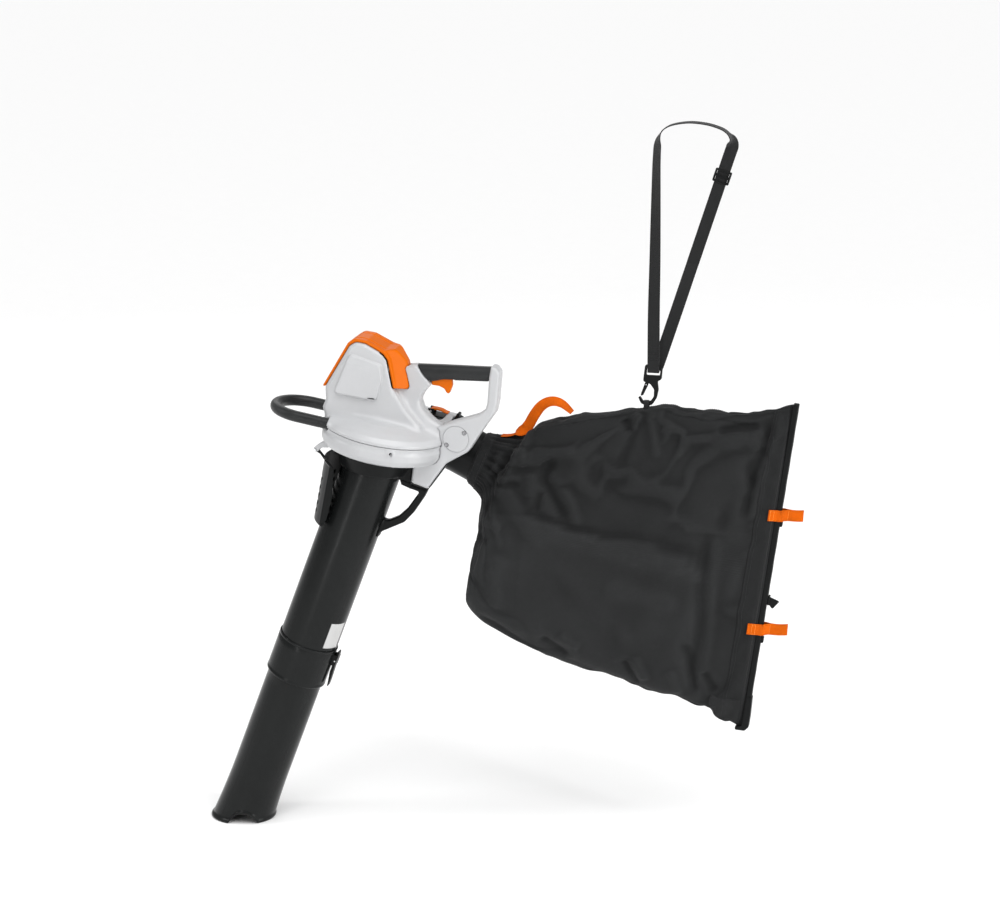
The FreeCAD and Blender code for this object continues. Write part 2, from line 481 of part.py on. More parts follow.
for y0 in (-39.8, 34.8):
    a = prism([(-135, -50), (-131, -49), (-124, -52), (-111.5, -67), (-111.5, -74), (-120.5, -74), (-126, -62), (-135, -58)], y0, y0 + 5, 1.0)
    arms = a if arms is None else arms.fuse(a)
side = None
for y0 in (-SW, SW - 4):
    q = prism([(-121, -66), (-105.5, -104), (-97.5, -140), (-103, -198), (-110, -212), (-119.5, -204)], y0, y0 + 4, 3)
    side = q if side is None else side.fuse(q)
screen = panel.fuse(arms).fuse(side).cut(cyl(2.55, (-131, -60, -54), (-131, 60, -54)))
save("intake_screen", one(screen), PM)
save("screen_pin", cyl(2.5, (-131, -47.5, -54), (-131, 47.5, -54)), PM)

# ================= bag =================
# stations from the neck to the closing edge: top and bottom of each section, and its half depth
ST = [((37.7, -145.0), (-2.7, -253.4), 57.8, 1.00, 1.00), ((61, -148.5), (14, -269.5), 60.5, 1.00, 1.00), ((88, -149), (29, -290), 66.0, 1.00, 1.00), ((124, -142), (24, -340), 76.0, 1.0, 1.0),
      ((143, -119), (6, -428), 84.0, 0.96, 0.9), ((166, -105), (-5, -512), 88.0, 0.94, 0.85), ((206, -97), (28, -556), 90.0, 0.9, 0.8),
      ((270, -88), (126, -602), 90.0, 0.86, 0.8), ((340, -80), (215, -636), 86.0, 0.84, 0.8), ((420, -66), (298, -655), 79.0, 0.82, 0.8),
      ((500, -68), (402, -688), 66.0, 0.8, 0.8), ((575, -70), (482, -706), 49.0, 0.8, 0.8), ((645, -60), (545, -742), 28.0, 0.8, 0.8), ((688, -46), (594, -758), 7.0, 0.8, 0.8)]


def section(st, off, n=28):
    (tx, tz), (bx, bz), h, p, q = st
    c = V((tx + bx) / 2.0, BAG_Y, (tz + bz) / 2.0)
    d = V(tx - bx, 0, tz - bz)
    L = d.Length / 2.0
    d.normalize()
    pts = []
    for i in range(n):
        t = 2 * math.pi * (i + n // 4) / n
        cs, sn = math.cos(t), math.sin(t)
        v = math.copysign(abs(cs) ** p, cs) * (L - off)
        w = math.copysign(abs(sn) ** q, sn) * (h - off)
        sag = 1.0 + 0.10 * (-cs) * (1 if L > 160 else 0)          # lower half hangs fuller
        pts.append(c + d * v + V(0, w * sag, 0))
    bs = Part.BSplineCurve()
    bs.interpolate(Points=pts, PeriodicFlag=True)
    return Part.Wire([bs.toShape()])


outer = Part.makeLoft([section(s, 0) for s in ST], True, False)
inner = Part.makeLoft([section(s, BAG_WALL if i < len(ST) - 1 else BAG_WALL) for i, s in enumerate(ST)], True, False)
ins = [section(s, BAG_WALL) for s in ST]
neck_cut = None
shell = outer.cut(inner)
print("bag outer", outer.isValid(), outer.Volume, "inner", inner.isValid(), inner.Volume, "shell", shell.isValid(), len(shell.Solids))


def ysplit(s, side):
    return s.common(box(-900, 1200, -600 if side < 0 else BAG_Y, BAG_Y if side < 0 else 700, -1500, 900))


save("bag_near_panel", ysplit(shell, -1))
save("bag_far_panel", ysplit(shell, 1))



# closing rail along the rear edge of the bag
RT, RB = V(688.4, BAG_Y, -46), V(594.4, BAG_Y, -758)
RDIR = (RT - RB); RLEN = RDIR.Length; RDIR.normalize()
RANG = math.degrees(math.atan2(RDIR.x, RDIR.z))
PR = Placement(RB, Rotation(V(0, 1, 0), RANG))            # rail frame: Z along the edge, X outwards
rail = box(0.6, 9.6, -8.2, 8.2, 0, RLEN).cut(box(6.0, 12, -2.0, 2.0, -5, RLEN + 5))
save("bag_rail", rail, PR)
ZS = 290.0
zs = box(6.6, 12.4, -1.6, 1.6, ZS - 9, ZS + 9).fuse(box(10.2, 14.0, -5.5, 5.5, ZS - 11, ZS + 11))
pull = Part.Face(Part.makePolygon([V(13.5, 0, ZS + 6), V(35, 0, ZS + 1), V(22, 0, ZS - 19), V(13.5, 0, ZS - 10), V(13.5, 0, ZS + 6)])).extrude(V(0, 2.4, 0))
zs = zs.fuse(pull)
save("zip_slider", one(zs), PR)


def tab(zc, name):
    # folded webbing that wraps the closing edge and stands out behind it
    n = [(-16, -19.5), (2, -11.0), (12, -10.2), (26, -3.2), (53, -2.3), (55.5, 0), (53, 2.3), (26, 3.2), (12, 10.2), (2, 11.0), (-16, 19.5)]
    i_ = [(-16, 17.4), (1.5, 9.1), (11.5, 8.5), (25.5, 1.2), (52.4, 0.4), (52.4, -0.4), (25.5, -1.2), (11.5, -8.5), (1.5, -9.1), (-16, -17.4)]
    P = [V(x, y, zc - TAB_W / 2.0) for x, y in n + i_]
    t = Part.Face(Part.makePolygon(P + [P[0]])).extrude(V(0, 0, TAB_W))
    save(name, t, PR)


tab(476.0, "edge_tab_upper")
tab(222.0, "edge_tab_lower")


def strip(pts, t, y0, y1):
    # thin ribbon along an XZ line
    L, R = [], []
    n = len(pts)
    for k in range(n):
        a = pts[max(k - 1, 0)]; c = pts[min(k + 1, n - 1)]
        dx, dz = c[0] - a[0], c[1] - a[1]
        l = math.hypot(dx, dz)
        nx, nz = -dz / l, dx / l
        L.append((pts[k][0] + nx * t / 2, pts[k][1] + nz * t / 2))
        R.append((pts[k][0] - nx * t / 2, pts[k][1] - nz * t / 2))
    P = [V(x, y0, z) for x, z in L + R[::-1]]
    return Part.Face(Part.makePolygon(P + [P[0]])).extrude(V(0, y1 - y0, 0))


# grab loop on the neck of the bag
save("grab_loop", strip([(96, -141), (113, -133), (124, -110), (143, -79), (160, -65), (178, -59), (196, -66), (214, -82), (221, -89)], 2.0, BAG_Y - 12, BAG_Y + 12))

# hanging loop sewn into the top seam of the bag
hx0, hx1 = 373.0, 385.0
hl = box(hx0, hx1, BAG_Y - 8.2, BAG_Y + 8.2, -73.5, -53.0).cut(box(hx0 - 1, hx1 + 1, BAG_Y - 6.6, BAG_Y + 6.6, -71.9, -54.5)).cut(outer)
hl = max(hl.Solids, key=lambda o: o.Volume)
save("bag_hang_loop", hl)

# snap hook with webbing frame
hk = prism([(375.0, 21.5), (412, 15.5), (410, -9), (402, -14), (404, -32), (400.5, -49), (391.5, -64), (380, -67.5), (367, -62), (361, -49), (366, -47.5), (371, -56), (380, -60.0), (388.5, -55), (394, -46), (394.5, -31), (386, -20), (371, -15)], BAG_Y - 4, BAG_Y + 4, [4, 5, 4, 2, 4, 8, 8, 8, 6, 2, 1, 4, 6, 5, 6, 6, 3, 4])
hk = hk.cut(prism([(379.5, 14.0), (407.5, 9.5), (406.2, -1.5), (378.0, -1.5)], BAG_Y - 5, BAG_Y + 5, 2))
gp = (378.0, -21.5)
hk = hk.cut(prism([(366.0, -25.5), (372, -16.8), (388.6, -20.0), (389, -34), (366, -34)], BAG_Y - 2.2, BAG_Y + 2.2, 0))
hk = hk.fuse(box(374.6, 381.6, BAG_Y - 4, BAG_Y - 2.2, -25, -16)).fuse(box(374.6, 381.6, BAG_Y + 2.2, BAG_Y + 4, -25, -16))
hk = hk.cut(cyl(1.3, (gp[0], BAG_Y - 9, gp[1]), (gp[0], BAG_Y + 9, gp[1])))
hk = max(hk.Solids, key=lambda o: o.Volume)
save("strap_hook", one(hk))
gate = prism([(374.5, -19.8), (380.5, -18.6), (381.5, -24), (371.5, -45.0), (366.2, -46.4), (367.2, -40.5)], BAG_Y - 1.8, BAG_Y + 1.8, [1.5, 1.5, 1.5, 1, 1, 1]).cut(cyl(1.36, (gp[0], BAG_Y - 9, gp[1]), (gp[0], BAG_Y + 9, gp[1])))
save("hook_gate", one(gate))
save("hook_gate_pin", cyl(1.3, (gp[0], BAG_Y - 4, gp[1]), (gp[0], BAG_Y + 4, gp[1])))

# shoulder strap: two runs of webbing and the band that goes over the shoulder


def run(a, b, w, y0, y1):
    dx, dz = b[0] - a[0], b[1] - a[1]
    l = math.hypot(dx, dz)
    nx, nz = -dz / l * w / 2, dx / l * w / 2
    return prism([(a[0] + nx, a[1] + nz), (a[0] - nx, a[1] - nz), (b[0] - nx, b[1] - nz), (b[0] + nx, b[1] + nz)], y0, y1)


SF0, SF1 = (393.0, 5.0), (394.0, 474.0)
SR0, SR1 = (398.5, 11.0), (546.5, 478.0)
sfr = run(SF0, SF1, WEB_W, BAG_Y - 6.8, BAG_Y - 4.4)
sfr = sfr.fuse(box(382.0, 404.5, BAG_Y - 6.8, BAG_Y + 6.6, 4.6, 7.0)).cut(hk)
save("strap_front", one(sfr))
save("strap_rear", run(SR0, SR1, WEB_W, BAG_Y + 4.2, BAG_Y + 6.6).cut(hk))
save("strap_top", strip([(394, 475.2), (395.5, 492), (404, 508), (424, 521), (461, 527.5), (498, 524.5), (527, 516), (543, 503), (547.0, 479.6)], WEB_T, BAG_Y - WEB_W / 2, BAG_Y + WEB_W / 2))
SA = math.degrees(math.atan2(SR1[0] - SR0[0], SR1[1] - SR0[1]))
k = (418.0 - SR0[1]) / (SR1[1] - SR0[1])
PS_ = Placement(V(SR0[0] + k * (SR1[0] - SR0[0]), BAG_Y + 5.4, 418.0), Rotation(V(0, 1, 0), SA))
tg = box(-17.5, 17.5, -4.0, 4.0, -14, 14).cut(box(-13.4, 13.4, -1.7, 1.7, -20, 20))
tg = tg.cut(box(-13.4, 13.4, -6, 0, -10.5, -2.0)).cut(box(-13.4, 13.4, -6, 0, 2.0, 10.5)).cut(box(-13.4, 13.4, 0, 6, -10.5, -2.0)).cut(box(-13.4, 13.4, 0, 6, 2.0, 10.5))
save("strap_slider", one(tg), PS_)

tot = Part.makeCompound(list(NODES.values())).optimalBoundingBox()
print("nodes", len(NODES), "box", [round(v, 1) for v in (tot.XMin, tot.YMin, tot.ZMin, tot.XMax, tot.YMax, tot.ZMax)])
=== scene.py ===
import math

import bpy
import numpy as np
from mathutils import Vector, Matrix


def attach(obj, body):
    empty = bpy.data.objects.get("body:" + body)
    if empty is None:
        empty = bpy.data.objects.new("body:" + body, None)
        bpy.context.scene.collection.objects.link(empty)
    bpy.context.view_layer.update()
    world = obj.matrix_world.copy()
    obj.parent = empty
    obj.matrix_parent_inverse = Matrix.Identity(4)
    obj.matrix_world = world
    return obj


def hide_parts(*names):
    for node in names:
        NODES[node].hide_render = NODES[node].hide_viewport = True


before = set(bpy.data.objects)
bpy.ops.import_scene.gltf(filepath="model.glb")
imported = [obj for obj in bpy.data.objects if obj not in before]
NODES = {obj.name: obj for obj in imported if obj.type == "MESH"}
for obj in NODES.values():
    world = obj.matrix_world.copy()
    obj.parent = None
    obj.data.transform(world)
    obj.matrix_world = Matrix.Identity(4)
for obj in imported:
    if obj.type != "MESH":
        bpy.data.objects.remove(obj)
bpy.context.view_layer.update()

MM = 0.001


# =====================================================================
# frames (millimetres in, row frame metres out)
# =====================================================================
def roty(deg):
    c, s = math.cos(math.radians(deg)), math.sin(math.radians(deg))
    return np.array([[c, 0, s], [0, 1, 0], [-s, 0, c]])


R10, R20 = roty(10.0), roty(20.5)
RM = (R10, np.array([-167.0, 0, -141.0]))
RT_ = (R20, np.array([-154.74, 0, -110.0]))
RR = (np.eye(3), np.zeros(3))
DCM = np.array([112.0, 76.0, -1.9])
RD = (roty(10 + 90 + 16.5), R10 @ DCM + RM[1])
RB, RTOP = np.array([594.4, 76, -758.0]), np.array([688.4, 76, -46.0])
RANG = math.degrees(math.atan2(94.0, 712.0))
RLEN = math.hypot(94.0, 712.0)
RP = (roty(RANG), RB)


def to_row(fr, P):
    return (np.asarray(P, float) @ fr[0].T + fr[1]) * MM


# =====================================================================
# signed distances and the mesher
# =====================================================================
def sdpoly(x, z, P):
    P = np.asarray(P, np.float32)
    n = len(P)
    d = (x - P[0, 0]) ** 2 + (z - P[0, 1]) ** 2
    s = np.ones(d.shape, np.float32)
    j = n - 1
    for i in range(n):
        ex, ez = float(P[j, 0] - P[i, 0]), float(P[j, 1] - P[i, 1])
        wx, wz = x - P[i, 0], z - P[i, 1]
        L = ex * ex + ez * ez
        if L < 1e-9:
            j = i
            continue
        t = np.clip((wx * ex + wz * ez) / L, 0, 1)
        bx, bz = wx - ex * t, wz - ez * t
        d = np.minimum(d, bx * bx + bz * bz)
        c1, c2, c3 = z >= P[i, 1], z < P[j, 1], ex * wz > ez * wx
        s = np.where((c1 & c2 & c3) | (~c1 & ~c2 & ~c3), -s, s)
        j = i
    return s * np.sqrt(d)


def rpoly(pts, r, seg=7):
    """The polygon with round corners."""
    n = len(pts)
    rad = list(r) if isinstance(r, (list, tuple)) else [r] * n
    out = []
    for i in range(n):
        a, b, c = np.array(pts[i - 1], float), np.array(pts[i], float), np.array(pts[(i + 1) % n], float)
        u, w = a - b, c - b
        lu, lw = np.linalg.norm(u), np.linalg.norm(w)
        u, w = u / lu, w / lw
        ang = math.acos(max(-1, min(1, float(u @ w))))
        if rad[i] < 0.05 or ang > math.pi - 0.03:
            out.append(tuple(b))
            continue
        t = min(rad[i] / math.tan(ang / 2), 0.47 * lu, 0.47 * lw)
        p, q = b + u * t, b + w * t
        for k in range(seg + 1):
            f = k / seg
            out.append(tuple((1 - f) ** 2 * p + 2 * f * (1 - f) * (b * 0.86 + (p + q) * 0.07) + f * f * q))
    return out


def smin(a, b, k):
    h = np.maximum(k - np.abs(a - b), 0) / k
    return np.minimum(a, b) - h * h * k * 0.25


def smax(a, b, k):
    return -smin(-a, -b, k)


def cut(a, b, k=0.8):
    return smax(a, -b, k)


def ext(d2, w, r):
    """A flat outline carried sideways: w is the distance past its side planes, r the radius of the rims."""
    a, b = d2 + r, w + r
    return np.minimum(np.maximum(a, b), 0) + np.sqrt(np.maximum(a, 0) ** 2 + np.maximum(b, 0) ** 2) - r


def sdbox(x, y, z, b, r=1.0):
    cx, cy, cz = (b[0] + b[1]) / 2, (b[2] + b[3]) / 2, (b[4] + b[5]) / 2
    hx, hy, hz = (b[1] - b[0]) / 2 - r, (b[3] - b[2]) / 2 - r, (b[5] - b[4]) / 2 - r
    qx, qy, qz = np.abs(x - cx) - hx, np.abs(y - cy) - hy, np.abs(z - cz) - hz
    return np.sqrt(np.maximum(qx, 0) ** 2 + np.maximum(qy, 0) ** 2 + np.maximum(qz, 0) ** 2) + np.minimum(np.maximum(qx, np.maximum(qy, qz)), 0) - r


def capsule(x, y, z, a, b, r):
    a, b = np.array(a, float), np.array(b, float)
    d = b - a
    t = np.clip(((x - a[0]) * d[0] + (y - a[1]) * d[1] + (z - a[2]) * d[2]) / float(d @ d), 0, 1)
    return np.sqrt((x - a[0] - d[0] * t) ** 2 + (y - a[1] - d[1] * t) ** 2 + (z - a[2] - d[2] * t) ** 2) - r


def sdcyl(x, y, z, a, b, r, e=1.0):
    """A cylinder with flat ends and a small edge radius e."""
    a, b = np.array(a, float), np.array(b, float)
    d = b - a
    L = np.linalg.norm(d)
    d = d / L
    m = (a + b) / 2
    t = (x - m[0]) * d[0] + (y - m[1]) * d[1] + (z - m[2]) * d[2]
    px, py, pz = x - m[0] - d[0] * t, y - m[1] - d[1] * t, z - m[2] - d[2] * t
    return ext(np.sqrt(px * px + py * py + pz * pz) - r, np.abs(t) - L / 2, e)


def lathe_sd(x, y, z, prof, r=1.5):
    """A closed (radius, z) outline turned round the Z axis."""
    R = np.sqrt(x * x + y * y)
    R = R[:, :, 0] if R.ndim == 3 else R
    zz = np.ravel(z)
    rs = np.arange(0, float(R.max()) + 2.0, 0.5)
    T = sdpoly(rs[:, None], zz[None, :], rpoly(prof, r, 5)).astype(np.float32)
    k = np.minimum((R / 0.5).astype(int), len(rs) - 2)
    f = (R / 0.5 - k)[:, :, None].astype(np.float32)
    return T[k] * (1 - f) + T[k + 1] * f


def nets(F):
    S = F < 0
    nx, ny, nz = F.shape
    c = np.zeros((nx - 1, ny - 1, nz - 1), np.uint8)
    for a in (0, 1):
        for b in (0, 1):
            for d in (0, 1):
                c += S[a:nx - 1 + a, b:ny - 1 + b, d:nz - 1 + d]
    I, J, K = np.nonzero((c > 0) & (c < 8))
    idx = np.full(c.shape, -1, np.int32)
    idx[I, J, K] = np.arange(len(I))
    cor = [(a, b, d) for a in (0, 1) for b in (0, 1) for d in (0, 1)]
    val = {q: F[I + q[0], J + q[1], K + q[2]] for q in cor}
    acc, n = np.zeros((len(I), 3)), np.zeros(len(I))
    for p in cor:
        for ax in range(3):
            if p[ax] == 0:
                q = tuple(1 if m == ax else p[m] for m in range(3))
                fa, fb = val[p], val[q]
                m = (fa < 0) != (fb < 0)
                t = fa[m] / (fa[m] - fb[m])
                pos = np.tile(np.array(p, float), (int(m.sum()), 1))
                pos[:, ax] += t
                acc[m] += pos
                n[m] += 1
    V = np.stack([I, J, K], 1) + acc / n[:, None]
    quads = []
    a, b = S[:-1, 1:-1, 1:-1], S[1:, 1:-1, 1:-1]
    i, j, k = np.nonzero(a != b)
    ins = a[i, j, k]
    j, k = j + 1, k + 1
    q = np.stack([idx[i, j - 1, k - 1], idx[i, j, k - 1], idx[i, j, k], idx[i, j - 1, k]], 1)
    quads.append(np.where(ins[:, None], q, q[:, ::-1]))
    a, b = S[1:-1, :-1, 1:-1], S[1:-1, 1:, 1:-1]
    i, j, k = np.nonzero(a != b)
    ins = a[i, j, k]
    i, k = i + 1, k + 1
    q = np.stack([idx[i - 1, j, k - 1], idx[i - 1, j, k], idx[i, j, k], idx[i, j, k - 1]], 1)
    quads.append(np.where(ins[:, None], q, q[:, ::-1]))
    a, b = S[1:-1, 1:-1, :-1], S[1:-1, 1:-1, 1:]
    i, j, k = np.nonzero(a != b)
    ins = a[i, j, k]
    i, j = i + 1, j + 1
    q = np.stack([idx[i - 1, j - 1, k], idx[i, j - 1, k], idx[i, j, k], idx[i - 1, j, k]], 1)
    quads.append(np.where(ins[:, None], q, q[:, ::-1]))
    return V, np.concatenate(quads)


def tri(F, P):
    s = np.array(F.shape) - 1.001
    P = np.clip(P, 0, s)
    k = P.astype(int)
    f = P - k
    i, j, l = k.T
    x, y, z = f.T
    c00 = F[i, j, l] * (1 - x) + F[i + 1, j, l] * x
    c10 = F[i, j + 1, l] * (1 - x) + F[i + 1, j + 1, l] * x
    c01 = F[i, j, l + 1] * (1 - x) + F[i + 1, j, l + 1] * x
    c11 = F[i, j + 1, l + 1] * (1 - x) + F[i + 1, j + 1, l + 1] * x
    return (c00 * (1 - y) + c10 * y) * (1 - z) + (c01 * (1 - y) + c11 * y) * z


def blur3(F):
    for ax in range(3):
        G = F.copy()
        a = [slice(None)] * 3
        b = [slice(None)] * 3
        m = [slice(None)] * 3
        a[ax], b[ax], m[ax] = slice(0, -2), slice(2, None), slice(1, -1)
        G[tuple(m)] = 0.25 * F[tuple(a)] + 0.5 * F[tuple(m)] + 0.25 * F[tuple(b)]
        F = G
    return F


def sdf_mesh(fn, lo, hi, h, blur=1, relax=2):
    lo = np.array(lo, float) - 2.5 * h
    n = [int(math.ceil((hi[k] + 2.5 * h - lo[k]) / h)) + 1 for k in range(3)]
    ax = [(lo[k] + h * np.arange(n[k])).astype(np.float32) for k in range(3)]
    F = fn(ax[0][:, None, None], ax[1][None, :, None], ax[2][None, None, :])
    F = np.array(np.broadcast_to(F, n), np.float32)
    for _ in range(blur):
        F = blur3(F)
    F[0], F[-1], F[:, 0], F[:, -1], F[:, :, 0], F[:, :, -1] = (h,) * 6
    V, Q = nets(F)
    for step in range(relax + 1):
        if step:
            A = np.zeros_like(V)
            c = np.zeros(len(V))
            for e in range(4):
                i, j = Q[:, e], Q[:, (e + 1) % 4]
                for k in range(3):
                    A[:, k] += np.bincount(i, V[j, k], len(V)) + np.bincount(j, V[i, k], len(V))
                c += np.bincount(i, minlength=len(V)) + np.bincount(j, minlength=len(V))
            V = V + 0.55 * (A / np.maximum(c, 1)[:, None] - V)
        for _ in range(2):
            f = tri(F, V)
            g = np.stack([tri(F, V + d) - tri(F, V - d) for d in (np.array([.5, 0, 0]), np.array([0, .5, 0]), np.array([0, 0, .5]))], 1)
            g2 = np.maximum((g * g).sum(1), (0.25 * h) ** 2)
            st = -(f / g2)[:, None] * g
            L = np.linalg.norm(st, axis=1, keepdims=True)
            V = V + st * np.minimum(1, 0.45 / np.maximum(L, 1e-9))
    return V * h + lo, Q


# =====================================================================
# objects
# =====================================================================
def mk(name, V, Q, mat, smooth=True, uv=None):
    """V (n,3) metres, Q an (m,4) or (m,3) array, or a list of both kinds."""
    me = bpy.data.meshes.new(name)
    V = np.asarray(V, np.float32)
    if isinstance(Q, np.ndarray):
        m, c = Q.shape
        me.vertices.add(len(V))
        me.vertices.foreach_set("co", V.ravel())
        me.loops.add(m * c)
        me.loops.foreach_set("vertex_index", Q.ravel().astype(np.int32))
        me.polygons.add(m)
        me.polygons.foreach_set("loop_start", (np.arange(m) * c).astype(np.int32))
        me.update(calc_edges=True)
    else:
        me.from_pydata([tuple(v) for v in V], [], [tuple(int(i) for i in q) for q in Q])
    me.validate()
    if smooth:
        me.polygons.foreach_set("use_smooth", [True] * len(me.polygons))
    if uv is not None:
        lay = me.uv_layers.new(name="UV")
        li = np.zeros(len(me.loops), np.int32)
        me.loops.foreach_get("vertex_index", li)
        lay.data.foreach_set("uv", np.asarray(uv, np.float32)[li].ravel())
    me.materials.append(mat)
    me.update()
    o = bpy.data.objects.new(name, me)
    bpy.context.scene.collection.objects.link(o)
    return o


def place(o, body, reps=()):
    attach(o, body)
    if reps:
        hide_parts(*reps)
    return o


def sdf_piece(name, fn, lo, hi, h, fr, mat, body, reps=(), blur=1, relax=2):
    V, Q = sdf_mesh(fn, lo, hi, h, blur, relax)
    return place(mk(name, to_row(fr, V), Q, mat), body, reps)


def grid_mesh(P, close_u=False, close_v=False):
    nu, nv = P.shape[:2]
    i = np.arange(nu if close_u else nu - 1)
    j = np.arange(nv if close_v else nv - 1)
    I, J = np.meshgrid(i, j, indexing="ij")
    I2, J2 = (I + 1) % nu, (J + 1) % nv
    Q = np.stack([I * nv + J, I * nv + J2, I2 * nv + J2, I2 * nv + J], -1).reshape(-1, 4)
    return P.reshape(-1, 3), Q


def lathe(name, prof, n, fr, mat, body, reps=(), centre=(0, 0), closed=True):
    """Turned piece from a closed (r, z) outline with its corners already rounded."""
    prof = np.array(prof, float)
    t = np.linspace(0, 2 * math.pi, n, endpoint=False)
    P = np.zeros((len(prof), n, 3))
    P[..., 0] = centre[0] + prof[:, 0:1] * np.cos(t)
    P[..., 1] = centre[1] + prof[:, 0:1] * np.sin(t)
    P[..., 2] = prof[:, 1:2]
    V, Q = grid_mesh(P, closed, True)
    area = sum(prof[i, 0] * prof[(i + 1) % len(prof), 1] - prof[(i + 1) % len(prof), 0] * prof[i, 1] for i in range(len(prof)))
    if area > 0:
        Q = Q[:, ::-1]
    return place(mk(name, to_row(fr, V), Q, mat), body, reps)


def frames_along(P, closed=False):
    P = np.asarray(P, float)
    T = np.gradient(P, axis=0) if not closed else np.roll(P, -1, 0) - np.roll(P, 1, 0)
    return T / np.maximum(np.linalg.norm(T, axis=1, keepdims=True), 1e-12)


def resample(P, n):
    P = np.asarray(P, float)
    s = np.concatenate([[0], np.cumsum(np.linalg.norm(np.diff(P, axis=0), axis=1))])
    t = np.linspace(0, s[-1], n)
    return np.stack([np.interp(t, s, P[:, k]) for k in range(P.shape[1])], 1)


def spline(P, n, closed=False):
    """Catmull-Rom through the points, evenly spaced."""
    P = np.asarray(P, float)
    Q = np.concatenate([[2 * P[0] - P[1]], P, [2 * P[-1] - P[-2]]]) if not closed else np.concatenate([[P[-1]], P, P[:2]])
    out = []
    for i in range(len(Q) - 3):
        p0, p1, p2, p3 = Q[i:i + 4]
        for t in np.linspace(0, 1, 16, endpoint=False):
            out.append(0.5 * ((2 * p1) + (-p0 + p2) * t + (2 * p0 - 5 * p1 + 4 * p2 - p3) * t * t + (-p0 + 3 * p1 - 3 * p2 + p3) * t ** 3))
    if not closed:
        out.append(Q[-2])
    return resample(out, n)


def ribbon(name, P, W, width, thick, mat, edge=0.25, uv_off=0.0, taper=None):
    """Webbing: centreline P (n,3) and width directions W (n,3) in millimetres, with thicker selvedges."""
    P, W = np.asarray(P, float), np.asarray(W, float)
    T = frames_along(P)
    W = W - (W * T).sum(1, keepdims=True) * T
    W /= np.linalg.norm(W, axis=1, keepdims=True)
    N = np.cross(T, W)
    a = np.array([-1, -0.985, -0.93, -0.86, -0.5, 0, 0.5, 0.86, 0.93, 0.985, 1.0])
    th = np.array([0.30, 0.75, 1.15, 1.0, 0.96, 0.94, 0.96, 1.0, 1.15, 0.75, 0.30])
    sec = [(x, t) for x, t in zip(a, th)] + [(x, -t) for x, t in zip(a[::-1], th[::-1])]
    sec = np.array(sec)
    s = np.concatenate([[0], np.cumsum(np.linalg.norm(np.diff(P, axis=0), axis=1))])
    ww = np.full(len(P), width) if taper is None else width * np.asarray(taper)
    G = P[:, None] + W[:, None] * (sec[None, :, 0:1] * ww[:, None, None] / 2) + N[:, None] * (sec[None, :, 1:2] * thick / 2)
    V, Q = grid_mesh(G, False, True)
    uv = np.zeros(G.shape[:2] + (2,))
    uv[..., 0] = (s[:, None] + uv_off) * MM
    uv[..., 1] = sec[None, :, 0] * width / 2 * MM
    n, m = G.shape[:2]
    caps = [list(range(m))[::-1], list(range((n - 1) * m, n * m))]
    faces = [list(q) for q in Q] + caps
    return mk(name, V * MM, [f[::-1] for f in faces], mat, uv=uv.reshape(-1, 2))


def tube_mesh(P, r, n=8, cap=True):
    """A round bar along P (k,3). Returns verts and faces."""
    P = np.asarray(P, float)
    T = frames_along(P)
    up = np.array([0, 0, 1.0]) if abs(T[0][2]) < 0.9 else np.array([1.0, 0, 0])
    A = np.cross(T[0], up)
    A /= np.linalg.norm(A)
    out = []
    for k in range(len(P)):
        A = A - (A @ T[k]) * T[k]
        A /= np.linalg.norm(A)
        B = np.cross(T[k], A)
        rr = r[k] if hasattr(r, "__len__") else r
        for i in range(n):
            t = 2 * math.pi * i / n
            out.append(P[k] + rr * (math.cos(t) * A + math.sin(t) * B))
    F = []
    for k in range(len(P) - 1):
        for i in range(n):
            j = (i + 1) % n
            F.append([k * n + i, k * n + j, (k + 1) * n + j, (k + 1) * n + i])
    if cap:
        F.append(list(range(n))[::-1])
        F.append([(len(P) - 1) * n + i for i in range(n)])
    return np.array(out), F


class Batch:
    """Many small closed shapes in one mesh."""

    def __init__(self):
        self.V, self.F, self.n = [], [], 0

    def add(self, V, F):
        self.V.append(np.asarray(V, float))
        self.F += [[i + self.n for i in f] for f in F]
        self.n += len(V)

    def make(self, name, fr, mat):
        return mk(name, to_row(fr, np.concatenate(self.V)), self.F, mat)


def stitch(b, p, t, n, length=3.0, r=0.32):
    """One stitch of thread: a small arc that dips into the cloth at its two ends."""
    p, t, n = (np.asarray(a, float) for a in (p, t, n))
    pts = [p + t * (length / 2) * c + n * hgt for c, hgt in ((-1, -0.35), (-0.7, 0.12), (0, 0.26), (0.7, 0.12), (1, -0.35))]
    V, F = tube_mesh(np.array(pts), [r * 0.6, r, r * 1.05, r, r * 0.6], 6)
    b.add(V, F)


